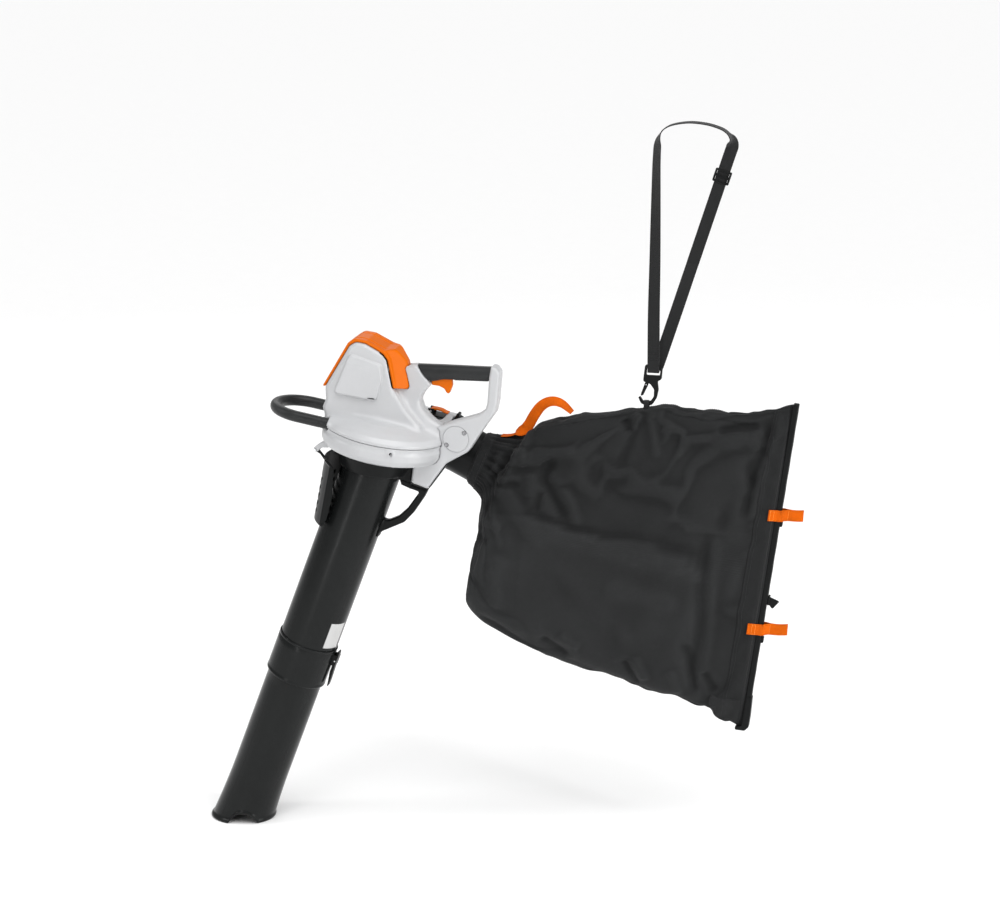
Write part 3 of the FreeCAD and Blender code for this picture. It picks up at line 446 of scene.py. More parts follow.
# =====================================================================
# materials
# =====================================================================
class NT:
    def __init__(self, name):
        self.m = bpy.data.materials.new(name)
        self.m.use_nodes = True
        self.t = self.m.node_tree
        self.b = self.t.nodes["Principled BSDF"]
        self.tc = self.n("ShaderNodeTexCoord")

    def n(self, kind, **kw):
        x = self.t.nodes.new(kind)
        for k, v in kw.items():
            setattr(x, k, v)
        return x

    def l(self, a, b):
        self.t.links.new(a, b)

    def co(self, uv=False, scale=(1, 1, 1), rot=(0, 0, 0)):
        mp = self.n("ShaderNodeMapping")
        mp.inputs["Scale"].default_value = scale
        mp.inputs["Rotation"].default_value = rot
        self.l(self.tc.outputs["UV" if uv else "Object"], mp.inputs["Vector"])
        return mp.outputs["Vector"]

    def noise(self, vec, scale, detail=3, rough=0.5, dist=0.0):
        x = self.n("ShaderNodeTexNoise")
        self.l(vec, x.inputs["Vector"])
        x.inputs["Scale"].default_value = scale
        x.inputs["Detail"].default_value = detail
        x.inputs["Roughness"].default_value = rough
        x.inputs["Distortion"].default_value = dist
        return x.outputs["Fac"]

    def vor(self, vec, scale, feature="F1", out="Distance"):
        x = self.n("ShaderNodeTexVoronoi", feature=feature)
        self.l(vec, x.inputs["Vector"])
        x.inputs["Scale"].default_value = scale
        return x.outputs[out]

    def wave(self, vec, scale, d="X", dist=0.0, profile="SIN"):
        x = self.n("ShaderNodeTexWave", bands_direction=d, wave_profile=profile)
        self.l(vec, x.inputs["Vector"])
        x.inputs["Scale"].default_value = scale
        x.inputs["Distortion"].default_value = dist
        return x.outputs["Fac"]

    def math(self, op, a, b=None, c=None, clamp=False):
        x = self.n("ShaderNodeMath", operation=op, use_clamp=clamp)
        for i, v in enumerate((a, b, c)):
            if v is None:
                continue
            if isinstance(v, (int, float)):
                x.inputs[i].default_value = v
            else:
                self.l(v, x.inputs[i])
        return x.outputs[0]

    def ramp(self, fac, stops):
        x = self.n("ShaderNodeValToRGB")
        self.l(fac, x.inputs["Fac"])
        cr = x.color_ramp
        while len(cr.elements) < len(stops):
            cr.elements.new(0.5)
        for e, (p, c) in zip(cr.elements, stops):
            e.position = p
            e.color = (*c, 1) if len(c) == 3 else c
        return x.outputs["Color"]

    def range(self, v, a, b, c, d):
        x = self.n("ShaderNodeMapRange")
        self.l(v, x.inputs["Value"])
        for k, q in zip(("From Min", "From Max", "To Min", "To Max"), (a, b, c, d)):
            x.inputs[k].default_value = q
        return x.outputs["Result"]

    def mix(self, fac, a, b, blend="MIX"):
        x = self.n("ShaderNodeMix", data_type="RGBA", blend_type=blend)
        for sock, v in ((x.inputs[0], fac), (x.inputs[6], a), (x.inputs[7], b)):
            if isinstance(v, (int, float)):
                sock.default_value = v
            elif isinstance(v, tuple):
                sock.default_value = (*v, 1)
            else:
                self.l(v, sock)
        return x.outputs[2]

    def bump(self, layers, dist=0.001):
        prev = None
        for hgt, strength, d in layers:
            x = self.n("ShaderNodeBump")
            x.inputs["Strength"].default_value = strength
            x.inputs["Distance"].default_value = d
            self.l(hgt, x.inputs["Height"])
            if prev is not None:
                self.l(prev, x.inputs["Normal"])
            prev = x.outputs["Normal"]
        self.l(prev, self.b.inputs["Normal"])

    def set(self, **kw):
        for k, v in kw.items():
            s = self.b.inputs[k.replace("_", " ")]
            if hasattr(v, "is_linked") or hasattr(v, "links"):
                self.l(v, s)
            elif isinstance(v, tuple):
                s.default_value = (*v, 1) if len(v) == 3 else v
            else:
                s.default_value = v
        return self.m


def point(t, a=0.5, b=0.6):
    g = t.n("ShaderNodeNewGeometry")
    return t.range(g.outputs["Pointiness"], a, b, 0.0, 1.0)


def plastic(name, col, rough=0.35, grain=0.06, wear=None, dirt=None, coat=0.0, grain_scale=1700, edge=(0.53, 0.62), var=0.06, spec=0.5):
    t = NT(name)
    v = t.co()
    big = t.noise(v, 14, 4, 0.6)
    mid = t.noise(v, 90, 4, 0.6)
    fine = t.noise(v, grain_scale, 2, 0.5)
    cells = t.vor(v, grain_scale * 0.6)
    lo = tuple(c * (1 - var) for c in col)
    hi = tuple(min(1, c * (1 + var)) for c in col)
    c = t.ramp(t.math("ADD", t.math("MULTIPLY", big, 0.6), t.math("MULTIPLY", mid, 0.4)), [(0.35, lo), (0.65, hi)])
    if dirt is not None:
        # concave spots (low pointiness) are darkened, in patches, towards this colour
        g = t.n("ShaderNodeNewGeometry")
        cav = t.range(g.outputs["Pointiness"], 0.40, 0.49, 1.0, 0.0)
        cav = t.math("MULTIPLY", cav, t.range(mid, 0.3, 0.7, 0.4, 1.0), clamp=True)
        c = t.mix(t.math("MULTIPLY", cav, 0.55), c, dirt)
    if wear is not None:
        e = point(t, *edge)
        e = t.math("MULTIPLY", e, t.range(t.noise(v, 160, 4, 0.7), 0.45, 0.7, 0.0, 1.0), clamp=True)
        c = t.mix(t.math("MULTIPLY", e, 0.45), c, wear)
    r = t.range(t.math("ADD", t.math("MULTIPLY", big, 0.5), t.math("MULTIPLY", fine, 0.5)), 0.3, 0.7, max(0.05, rough - 0.05), rough + 0.06)
    sv = t.co(scale=(1, 1, 9), rot=(0.4, 0.9, 0.2))
    scr = t.range(t.noise(sv, 60, 6, 0.75), 0.62, 0.7, 0.0, 1.0)
    r = t.math("ADD", r, t.math("MULTIPLY", scr, 0.03))
    t.set(Base_Color=c, Roughness=r)
    t.b.inputs["Specular IOR Level"].default_value = spec
    t.b.inputs["Coat Weight"].default_value = coat
    t.b.inputs["Coat Roughness"].default_value = 0.22
    t.bump([(t.math("ADD", fine, t.math("MULTIPLY", cells, 0.6)), grain, 0.0003), (big, 0.05, 0.001)])
    return t.m


def rubber(name, col, rough=0.55):
    t = NT(name)
    v = t.co()
    big, fine = t.noise(v, 20, 4), t.noise(v, 900, 3)
    dots = t.vor(v, 620)
    c = t.ramp(t.math("ADD", t.math("MULTIPLY", big, 0.7), t.math("MULTIPLY", fine, 0.3)), [(0.35, tuple(x * 0.8 for x in col)), (0.65, tuple(x * 1.25 for x in col))])
    t.set(Base_Color=c, Roughness=t.range(big, 0.3, 0.7, rough - 0.06, rough + 0.07))
    t.b.inputs["Sheen Weight"].default_value = 0.08
    t.bump([(dots, 0.16, 0.0004), (fine, 0.10, 0.0003)])
    return t.m


def fabric(name, col, uv=True, scale=1.0, rough=0.78, sheen=0.25, weave=0.42, painted_light_tone=None):
    """Plain woven nylon: warp and weft about 0.7 mm apart, slubs, faint dust and creases."""
    t = NT(name)
    v = t.co(uv=uv)
    n1 = t.noise(v, 500 * scale, 2)
    w1 = t.wave(v, 230 * scale, "X", 0.4)
    w2 = t.wave(v, 230 * scale, "Y", 0.4)
    ck = t.n("ShaderNodeTexChecker")
    t.l(v, ck.inputs["Vector"])
    ck.inputs["Scale"].default_value = 1460 * scale
    over = t.mix(ck.outputs["Fac"], w1, w2)
    slub = t.noise(t.co(uv=uv, scale=(1, 14, 1)), 60 * scale, 3)
    slub2 = t.noise(t.co(uv=uv, scale=(14, 1, 1)), 60 * scale, 3)
    o = t.co()
    big = t.noise(o, 7, 5, 0.6)
    mot = t.noise(o, 38, 5, 0.65)
    f = t.math("ADD", t.math("MULTIPLY", big, 0.45), t.math("ADD", t.math("MULTIPLY", mot, 0.25), t.math("MULTIPLY", t.math("ADD", slub, slub2), 0.15)))
    c = t.ramp(f, [(0.36, tuple(x * 0.82 for x in col)), (0.62, tuple(x * 1.2 for x in col))])
    c = t.mix(t.math("MULTIPLY", over, 0.35), c, tuple(min(1, x * 1.9) for x in col))
    dust = t.range(t.noise(o, 22, 6, 0.75), 0.56, 0.8, 0.0, 0.22)
    c = t.mix(dust, c, tuple(min(1, x * 1.7 + 0.01) for x in col))
    # painted light: the tone attribute darkens or lightens the colour, carrying painted shade in hollows and painted
    # highlights on ridges
    if painted_light_tone:
        at = t.n("ShaderNodeAttribute")
        at.attribute_name = painted_light_tone
        c = t.mix(at.outputs["Fac"], t.mix(1.0, c, (0.3, 0.3, 0.3), "MULTIPLY"), t.mix(1.0, c, (2.3, 2.3, 2.3), "MULTIPLY"))
    t.set(Base_Color=c, Roughness=t.range(mot, 0.3, 0.7, rough - 0.06, rough + 0.06))
    t.b.inputs["Sheen Weight"].default_value = sheen
    t.b.inputs["Sheen Roughness"].default_value = 0.45
    t.b.inputs["Specular IOR Level"].default_value = 0.35
    wr = t.noise(o, 34, 5, 0.6, 0.6)
    t.bump([(wr, 0.30, 0.0035), (over, weave, 0.00045), (n1, 0.15, 0.0003), (t.math("ADD", slub, slub2), 0.15, 0.0005)])
    return t.m


def webbing(name, col, rough=0.7, rib=420, spec=0.35, sheen=0.2):
    """Narrow woven tape: ribs across, two darker tracks along the edges. UV is in metres."""
    t = NT(name)
    v = t.co(uv=True)
    ribs = t.wave(v, rib / 2.0, "X", 0.25)
    along = t.wave(v, rib * 0.72, "Y", 0.2)
    ck = t.n("ShaderNodeTexChecker")
    t.l(v, ck.inputs["Vector"])
    ck.inputs["Scale"].default_value = rib * 2.6
    weave = t.mix(ck.outputs["Fac"], ribs, along)
    sx = t.n("ShaderNodeSeparateXYZ")
    t.l(v, sx.inputs[0])
    ay = t.math("ABSOLUTE", sx.outputs["Y"])
    track = t.math("LESS_THAN", t.math("ABSOLUTE", t.math("SUBTRACT", ay, 0.0096)), 0.0006)
    o = t.co()
    big = t.noise(o, 25, 4, 0.6)
    c = t.ramp(t.math("ADD", t.math("MULTIPLY", big, 0.6), t.math("MULTIPLY", weave, 0.4)), [(0.25, tuple(x * 0.62 for x in col)), (0.72, tuple(min(1, x * 1.18) for x in col))])
    c = t.mix(t.math("MULTIPLY", track, 0.35), c, tuple(x * 0.5 for x in col))
    fuzz = t.noise(o, 1200, 3)
    t.set(Base_Color=c, Roughness=t.range(big, 0.3, 0.7, rough - 0.07, rough + 0.07))
    t.b.inputs["Sheen Weight"].default_value = sheen
    t.b.inputs["Specular IOR Level"].default_value = spec
    t.bump([(weave, 0.55, 0.0006), (fuzz, 0.2, 0.0003)])
    return t.m


def metal(name, col, rough=0.28, brushed=True, dirt=(0.08, 0.07, 0.06)):
    t = NT(name)
    v = t.co()
    st = t.noise(t.co(scale=(1, 1, 30)), 260, 4, 0.7) if brushed else t.noise(v, 400, 3)
    big = t.noise(v, 40, 5, 0.65)
    c = t.ramp(t.math("ADD", t.math("MULTIPLY", st, 0.5), t.math("MULTIPLY", big, 0.5)), [(0.3, tuple(x * 0.8 for x in col)), (0.7, tuple(min(1, x * 1.12) for x in col))])
    c = t.mix(t.range(big, 0.6, 0.85, 0.0, 0.5), c, dirt)
    t.set(Base_Color=c, Roughness=t.range(st, 0.3, 0.7, rough - 0.08, rough + 0.12))
    t.b.inputs["Metallic"].default_value = 1.0
    t.bump([(st, 0.10, 0.0003)])
    return t.m


M_WHITE = plastic("housing_white", (0.455, 0.46, 0.47), 0.33, 0.05, wear=(0.74, 0.74, 0.74), dirt=(0.36, 0.35, 0.34), coat=0.12, var=0.018, edge=(0.54, 0.66))
M_BLACK = plastic("black_plastic", (0.0060, 0.0065, 0.0066), 0.34, 0.10, wear=(0.05, 0.05, 0.05), coat=0.0, var=0.14)
M_TUBE = plastic("tube_black", (0.0080, 0.0088, 0.0088), 0.235, 0.09, wear=(0.05, 0.05, 0.05), coat=0.0, var=0.12, grain_scale=1300)
M_ORANGE = plastic("orange_plastic", (0.615, 0.120, 0.0004), 0.38, 0.05, wear=(0.86, 0.22, 0.008), dirt=(0.42, 0.08, 0.002), coat=0.0, var=0.03, spec=0.10)
M_GRIP = rubber("grip_rubber", (0.0150, 0.0158, 0.0162), 0.40)
M_FAB = fabric("bag_fabric", (0.0120, 0.0124, 0.0127), sheen=0.05)
# the outer bag cloth takes the painted light tone: painted shade in creases, painted highlights on ridges and a painted
# lighter lower panel
M_FABS = fabric("bag_shell_fabric", (0.0120, 0.0124, 0.0127), sheen=0.05, painted_light_tone="cloth_painted_light")
M_FABD = fabric("bag_lining", (0.015, 0.0155, 0.016), rough=0.85, sheen=0.1)
M_WEB = webbing("webbing_black", (0.0095, 0.0098, 0.0102))
M_WEBO = webbing("webbing_orange", (0.64, 0.106, 0.0004), 0.66, spec=0.08, sheen=0.02)
M_THREAD = fabric("thread_black", (0.020, 0.020, 0.021), uv=False, scale=2.0, sheen=0.1)
M_THREADO = fabric("thread_orange", (0.95, 0.30, 0.03), uv=False, scale=2.0, sheen=0.2)
M_FAN = plastic("fan_plastic", (0.03, 0.031, 0.033), 0.45, 0.12, wear=(0.1, 0.1, 0.1), dirt=(0.05, 0.045, 0.035), var=0.15)
M_STEEL = metal("steel", (0.55, 0.56, 0.57), 0.26)
M_MSTEEL = metal("motor_steel", (0.30, 0.31, 0.32), 0.38)
M_SCREW = metal("screw_steel", (0.36, 0.36, 0.37), 0.36, False)
M_COPPER = metal("copper_windings", (0.72, 0.32, 0.14), 0.33)
M_BOARD = plastic("board_green", (0.012, 0.095, 0.035), 0.3, 0.1, var=0.25, coat=0.3, grain_scale=700)
M_BATT = plastic("battery_shell", (0.018, 0.0185, 0.019), 0.42, 0.14, wear=(0.07, 0.07, 0.07), var=0.12)
M_LABEL = plastic("label_white", (0.50, 0.50, 0.495), 0.30, 0.02, wear=(0.9, 0.9, 0.9), var=0.012, coat=0.3)
M_HOLE = plastic("recess_dark", (0.012, 0.012, 0.012), 0.6, 0.1)

# =====================================================================
# outlines, the same numbers as the solids (M frame unless it says otherwise)
# =====================================================================
BODY = [(-118, 16), (-131, 42), (-126, 60), (-132, 86), (-94, 184), (-82, 194.5), (-62, 195), (-20, 181.5), (-10, 171), (13, 112), (48, 74), (86, 44), (70, 16)]
NECK = [(4, 60), (8, 120), (13, 149), (26, 161), (47, 166.5), (83, 133.5), (78, 122), (70, 108), (66, 92), (70, 78), (82, 66), (104, 30), (20, 30)]
PANEL = [(-89, 169), (-19, 160.5), (-11.5, 127), (-16.5, 82.5), (-109, 79.5), (-105, 99)]
HOOD = [(-138.5, 85), (-99, 189), (-86, 201), (-62, 202), (-16, 188), (-5, 175), (17.5, 116), (12, 114.2), (-10, 171), (-20, 181.5), (-62, 195), (-82, 194.5), (-93, 184), (-131.6, 86.5)]
FRAME = [(203, 199.5), (214, 199.5), (224, 189), (229.5, 129), (229, 105), (207, 57), (187, 9), (145, -27), (114.5, -90.5), (77.5, -84.5), (75.5, -44), (70, -36), (70, 30), (96, 46), (121, 51), (147, 66), (192, 90), (207, 106), (208.5, 122), (204.5, 160), (203, 175)]
FR_R = [1, 8, 9, 12, 16, 30, 20, 12, 5, 5, 2, 1, 1, 3, 8, 16, 12, 10, 9, 5, 4]
WALL = 2.6
DDM = np.array([math.cos(math.radians(16.5)), 0, -math.sin(math.radians(16.5))])
BATT = (-87.0, -27.0, 91.0, 161.0, -46.0, 64.0)
CROWN = [(0, -60), (130, -60), (130, 15), (123, 25), (104, 34.5), (80, 42), (0, 47)]


def duct_s(x, y, z):
    return (x - DCM[0]) * DDM[0] + (z - DCM[2]) * DDM[2]


def duct_r(x, y, z):
    s = duct_s(x, y, z)
    return np.sqrt((x - DCM[0] - s * DDM[0]) ** 2 + (y - DCM[1]) ** 2 + (z - DCM[2] - s * DDM[2]) ** 2)


def casing_outer(x, y, z):
    """Fan casing, motor body, neck, side boxes and outlet in one flowing form."""
    f = lathe_sd(x, y, z, CROWN, 4)
    ay = np.abs(y)
    body = ext(sdpoly(x, z, rpoly(BODY, [4, 10, 12, 14, 12, 12, 12, 12, 12, 20, 20, 6, 4])), ay - 50, 9)
    f = smin(f, body, 12)
    neck = ext(sdpoly(x, z, rpoly(NECK, [0.5, 6, 9, 7, 5, 4, 8, 10, 14, 14, 12, 2, 2])), ay - 19.5, 6)
    f = smin(f, neck, 13)
    ridge = ext(sdpoly(x, z, rpoly([(30, 20), (52, 86), (66, 84), (76, 69.5), (96, 60), (121, 50.4), (134, 40), (110, 20)], [1, 10, 8, 8, 10, 8, 5, 1])), ay - 17, 9)
    f = smin(f, ridge, 16)
    pan = ext(sdpoly(x, z, rpoly(PANEL, [7, 6, 9, 9, 9, 9])), ay - 59.5 + np.clip((z - 150) / 9.0, 0, 1) * 2.6, 3.6)
    f = smin(f, pan, 2.2)
    for s in (-1, 1):
        f = smin(f, sdcyl(x, y, z, (-104.6, s * 64, 14), (-55, s * 64, 14), 16.4, 1.6), 12)
    out = sdbox(x, y, z, (0, 150, 22, 130, -37, 46), 9)
    f = smin(f, out, 8)
    collar = ext(duct_r(x, y, z) - 54.2, np.abs(duct_s(x, y, z) + 8) - 9, 1.5)
    f = smin(f, collar, 6)
    return f


def casing_inner(x, y, z):
    f = lathe_sd(x, y, z, [(0, -34.4), (106, -34.4), (121, -28.8), (127.3, -19), (127.3, -9), (124.4, -4), (124.4, 15), (119.5, 22.5), (103, 31.8), (79, 39), (0, 43)], 3)
    body = ext(sdpoly(x, z, rpoly(BODY, 14)) + WALL, np.abs(y) - 50 + WALL, 8)
    f = smin(f, body, 6)
    neck = ext(sdpoly(x, z, rpoly(NECK, 8)) + WALL, np.abs(y) - 19.5 + WALL, 4)
    f = np.minimum(f, neck)
    pan = ext(sdpoly(x, z, rpoly(PANEL, 9)) + WALL, np.abs(y) - 57.0 + WALL, 3)
    f = np.minimum(f, pan)
    f = np.minimum(f, sdbox(x, y, z, (2, 170, 24.8, 127.4, -34.4, 43.4), 7))
    f = np.minimum(f, ext(duct_r(x, y, z) - 50.8, np.abs(duct_s(x, y, z)) - 30, 1))
    for s in (-1, 1):
        f = cut(f, sdcyl(x, y, z, (-140, s * 64, 14), (-72, s * 64, 14), 15.0, 1))
    return f


def bulge(x, y, z):
    """The hood's rear leg swells towards the middle, so that it shows a wide slanted facet on each side."""
    ay = np.abs(y)
    f = ext(sdpoly(x, z, rpoly([(-40, 170), (-22, 189), (0, 193.5), (27, 168), (40, 118), (36, 113.5), (8, 114.5)], [1, 8, 12, 12, 3, 3, 1])), ay - 44, 3.0)
    xe = 12.6 - (z - 117) * 0.4625
    return smax(f, 0.666 * (x - xe) + 0.745 * (ay - 44.5), 3.0)


def housing(x, y, z):
    f = casing_outer(x, y, z)
    # a groove line round the side wall, just above the seam at the foot
    R = np.sqrt(x * x + y * y)
    f = cut(f, np.sqrt((R - 131.0) ** 2 + (z - 12.4) ** 2) - 1.5, 1.2)
    inner = casing_inner(x, y, z)
    f = np.maximum(f, -inner)
    for s in (-1, 1):
        f = np.maximum(f, -sdcyl(x, y, z, (-160, s * 64, 14), (-96, s * 64, 14), 12.25, 0.4))
    b = BATT
    f = np.maximum(f, -sdbox(x, y, z, (b[0] - 0.8, b[1] + 0.8, 30, 80, b[2] - 0.8, b[3] + 0.8), 2.5))
    f = np.maximum(f, -np.maximum(-(duct_s(x, y, z) + 0.4), 20.6 - y))
    f = np.maximum(f, 9.25 - z)
    # finger slot at the lower corner of the side box
    f = np.maximum(f, -ext(sdpoly(x, z, rpoly([(-36, 79.2), (-20.5, 81.6), (-20, 88.6), (-35, 86.2)], 1.8)), np.abs(y + 60) - 9, 0.6))
    f = np.maximum(f, -(bulge(x, y, z) - 0.22))
    # vent slots in the far flank of the motor body, low at the front
    for k in range(5):
        x0 = -121 + 7.5 * k * 0.35
        zz = 62 + 8.0 * k
        f = np.maximum(f, -ext(sdpoly(x, z, rpoly([(x0 - 1, zz - 1.3), (x0 + 10, zz + 2.2), (x0 + 9.4, zz + 4.6), (x0 - 1.6, zz + 1.1)], 1.0)), np.abs(y - 50) - 5, 0.4))
    f = np.maximum(f, -sdpoly(x, z, [(60, 190), (47, 167.5), (83.6, 133.2), (110, 110)]))
    f = np.maximum(f, -sdbox(x * R10[0, 0] + z * R10[0, 2] - 167, y, x * R10[2, 0] + z * R10[2, 2] - 141, (-98, 90, -9.4, 9.4, -8.9, 8.9), 1))
    return f


sdf_piece("housing_shell_near", lambda x, y, z: np.maximum(housing(x, y, z), y + 0.12), (-146, -131, 8), (153, 1, 206), 1.55, RM, M_WHITE, "machine", ["housing_near"])
sdf_piece("housing_shell_far", lambda x, y, z: np.maximum(housing(x, y, z), 0.12 - y), (-146, -1, 8), (153, 131, 206), 1.6, RM, M_WHITE, "machine", ["housing_far"])


def volute_outer(x, y, z):
    f = lathe_sd(x, y, z, [(0, -37), (108, -37), (124, -31), (130, -20), (130.2, -6), (128.0, -1.0), (127.6, 5.0), (129.6, 8.0), (129.6, 30), (0, 30)], 4)
    out = sdbox(x, y, z, (0, 150, 22, 130, -37, 60), 9)
    f = smin(f, out, 8)
    collar = ext(duct_r(x, y, z) - 54.2, np.abs(duct_s(x, y, z) + 8) - 9, 1.5)
    return smin(f, collar, 6)


def volute_low(x, y, z):
    f = volute_outer(x, y, z)
    # rolled lower rim and a shallow step under it
    R = np.sqrt(x * x + y * y)
    f = cut(f, np.sqrt((R - 122.0) ** 2 + (z + 35.5) ** 2) - 2.0, 3)
    # boss over the seam screw pocket, near side
    boss = sdcyl(x, y, z, (44, -116.5, -3), (51, -131.5, -3.5), 8.5, 2)
    f = smin(f, np.maximum(boss, R - 129.6), 4)
    f = np.maximum(f, -casing_inner(x, y, z))
    f = np.maximum(f, -np.maximum(-(duct_s(x, y, z) + 0.4), 20.6 - y))
    f = np.maximum(f, z - 8.85)
    f = np.maximum(f, -(ext(R - 62.0, np.abs(z + 40) - 25, 0.5)))
    f = np.maximum(f, -sdcyl(x, y, z, (43, -110, -2.6), (56, -142, -3.6), 3.1, 0.4))
    for s in (-1, 1):
        f = np.maximum(f, -sdcyl(x, y, z, (-160, s * 64, 14), (-96, s * 64, 14), 12.25, 0.4))
    # ears of the screen hinge
    ear = rpoly([(-96, -34), (-96, -41), (-117, -46), (-126.5, -58.6), (-135.4, -58.8), (-135.8, -50.6), (-128, -41), (-119, -32), (-112, -33)], [1, 2, 4, 4, 4, 4, 4, 2, 1])
    e2 = sdpoly(x, z, ear)
    for y0 in (-46, 41):
        e = ext(e2, np.abs(y - y0 - 2.5) - 2.5, 1.0)
        e = np.maximum(e, -sdcyl(x, y, z, (-131, y0 - 2, -54), (-131, y0 + 7, -54), 2.6, 0.1))
        f = smin(f, np.maximum(e, -casing_inner(x, y, z)), 2.0)
    return f


sdf_piece("volute_shell_lower", volute_low, (-142, -131, -66), (153, 131, 9), 1.6, RM, M_WHITE, "machine", ["volute_lower"])


def frame_fn(x, y, z):
    ay = np.abs(y)
    d2 = sdpoly(x, z, rpoly(FRAME, FR_R))
    f = ext(d2, ay - 19.5, 6.0)
    # the flat recess for the round cover
    f = np.maximum(f, -ext(np.sqrt((x - 157) ** 2 + (z - 31) ** 2) - 28.0, np.abs(y + 19.9) - 1.4, 0.3))
    f = np.maximum(f, -np.where(z > 9.0, casing_outer(x, y, z) - 0.30, volute_outer(x, y, z) - 0.30))
    # grip end plane: nothing of the frame in front of the grip's rear face
    rx, rz = x * R10[0, 0] + z * R10[0, 2] - 167, x * R10[2, 0] + z * R10[2, 2] - 141
    f = np.maximum(f, -sdbox(rx, y, rz, (-98, 62, -9.4, 9.4, -8.9, 8.9), 1))
    f = cut(f, sdcyl(x, y, z, (139.5, -24, 14.5), (139.5, -15, 14.5), 4.4, 0.3), 0.4)
    f = cut(f, sdcyl(x, y, z, (172, -24, 48), (172, -15, 48), 4.4, 0.3), 0.4)
    return f


sdf_piece("frame_shell_near", lambda x, y, z: np.maximum(frame_fn(x, y, z), y + 0.12), (66, -20, -93), (232, 1, 202), 1.3, RM, M_WHITE, "machine", ["handle_frame_near"])
sdf_piece("frame_shell_far", lambda x, y, z: np.maximum(frame_fn(x, y, z), 0.12 - y), (66, -1, -93), (232, 20, 202), 1.4, RM, M_WHITE, "machine", ["handle_frame_far"])

# round cover with two screws
sdf_piece("side_cover_plate", lambda x, y, z: cut(cut(ext(np.sqrt((x - 157) ** 2 + (z - 31) ** 2) - 27.4, np.abs(y + 20.1) - 1.0, 0.7), sdcyl(x, y, z, (139.5, -24, 14.5), (139.5, -15, 14.5), 4.5, 0.2), 0.5), sdcyl(x, y, z, (172, -24, 48), (172, -15, 48), 4.5, 0.2), 0.5), (129, -22, 3), (185, -18, 59), 0.75, RM, M_WHITE, "machine", ["side_cover"])


def screw_head(b, c, n, r=3.9, depth=1.3):
    """Pan head with a six-lobed drive, axis n, top at c."""
    c, n = np.asarray(c, float), np.asarray(n, float)
    n = n / np.linalg.norm(n)
    a = np.cross(n, [0.3, 1, 0.2])
    a /= np.linalg.norm(a)
    q = np.cross(n, a)
    N = 36
    rings = []
    for rr, zz, lobe in ((r, -depth, 0), (r, -0.45, 0), (r * 0.93, -0.12, 0), (r * 0.78, 0, 0), (r * 0.56, 0.02, 1), (r * 0.50, -0.15, 1), (r * 0.47, -1.1, 1), (0.01, -1.25, 0)):
        ring = []
        for i in range(N):
            t = 2 * math.pi * i / N
            k = rr * (1 + (0.13 * math.cos(6 * t) if lobe else 0))
            ring.append(c + a * k * math.cos(t) + q * k * math.sin(t) + n * zz)
        rings.append(ring)
    P = np.array(rings)
    V, Q = grid_mesh(P, False, True)
    F = [list(f) for f in Q] + [list(range(N))]
    b.add(V, [f[::-1] for f in F])


bs = Batch()
for (sx_, sz_) in ((139.5, 14.5), (172, 48)):
    screw_head(bs, (sx_, -20.4, sz_), (0, -1, 0), 3.7, 2.4)
place(bs.make("cover_screw_heads", RM, M_SCREW), "machine", ["cover_screws"])
bs = Batch()
for ang in (216, 246, 299, 335, 120, 144):
    screw_head(bs, (102 * math.cos(math.radians(ang)), 102 * math.sin(math.radians(ang)), -38.6), (0, 0, -1), 3.7, 1.9)
place(bs.make("seam_screw_heads", RM, M_SCREW), "machine", ["seam_screws"])
bs = Batch()
screw_head(bs, (50.4, -128.2, -3.2), (0.37, -0.93, 0), 2.9, 2.4)
place(bs.make("pocket_screw_head", RM, M_SCREW), "machine")


# ---------------- hood ----------------
def hood_fn(x, y, z):
    ay = np.abs(y)
    f = ext(sdpoly(x, z, rpoly(HOOD, [1.5, 14, 14, 16, 14, 12, 1.5, 1.5, 10, 10, 10, 10, 10, 1.5])), ay - 44, 3.4)
    d = sdpoly(x, z, rpoly(HOOD[:7] + [(60, 0), (-200, 0)], 12))
    # two long channels and a raised crown between them
    f = smax(f, -(np.sqrt((ay - 24) ** 2 + (d + 0.0) ** 2 * 1.0) - 2.3), 2.5)
    bd = ext(sdpoly(x, z, rpoly(BODY, [4, 10, 12, 14, 12, 12, 12, 12, 12, 20, 20, 6, 4])), ay - 50, 9)
    f = np.maximum(f, -(bd - 0.25))
    b = bulge(x, y, z)
    line = sdpoly(x, z, rpoly([(-40, 170), (-22, 189), (0, 193.5), (27, 168), (40, 118), (36, 100), (-60, 90)], [1, 8, 12, 12, 3, 3, 1]))
    b = smax(b, -(np.sqrt((ay - 24) ** 2 + line ** 2) - 1.6), 1.6)
    f = smin(f, np.maximum(b, -(bd - 0.25)), 1.5)
    return f


sdf_piece("hood_shell", hood_fn, (-147, -45, 80), (43, 45, 205), 1.15, RM, M_ORANGE, "machine", ["hood"], blur=1)


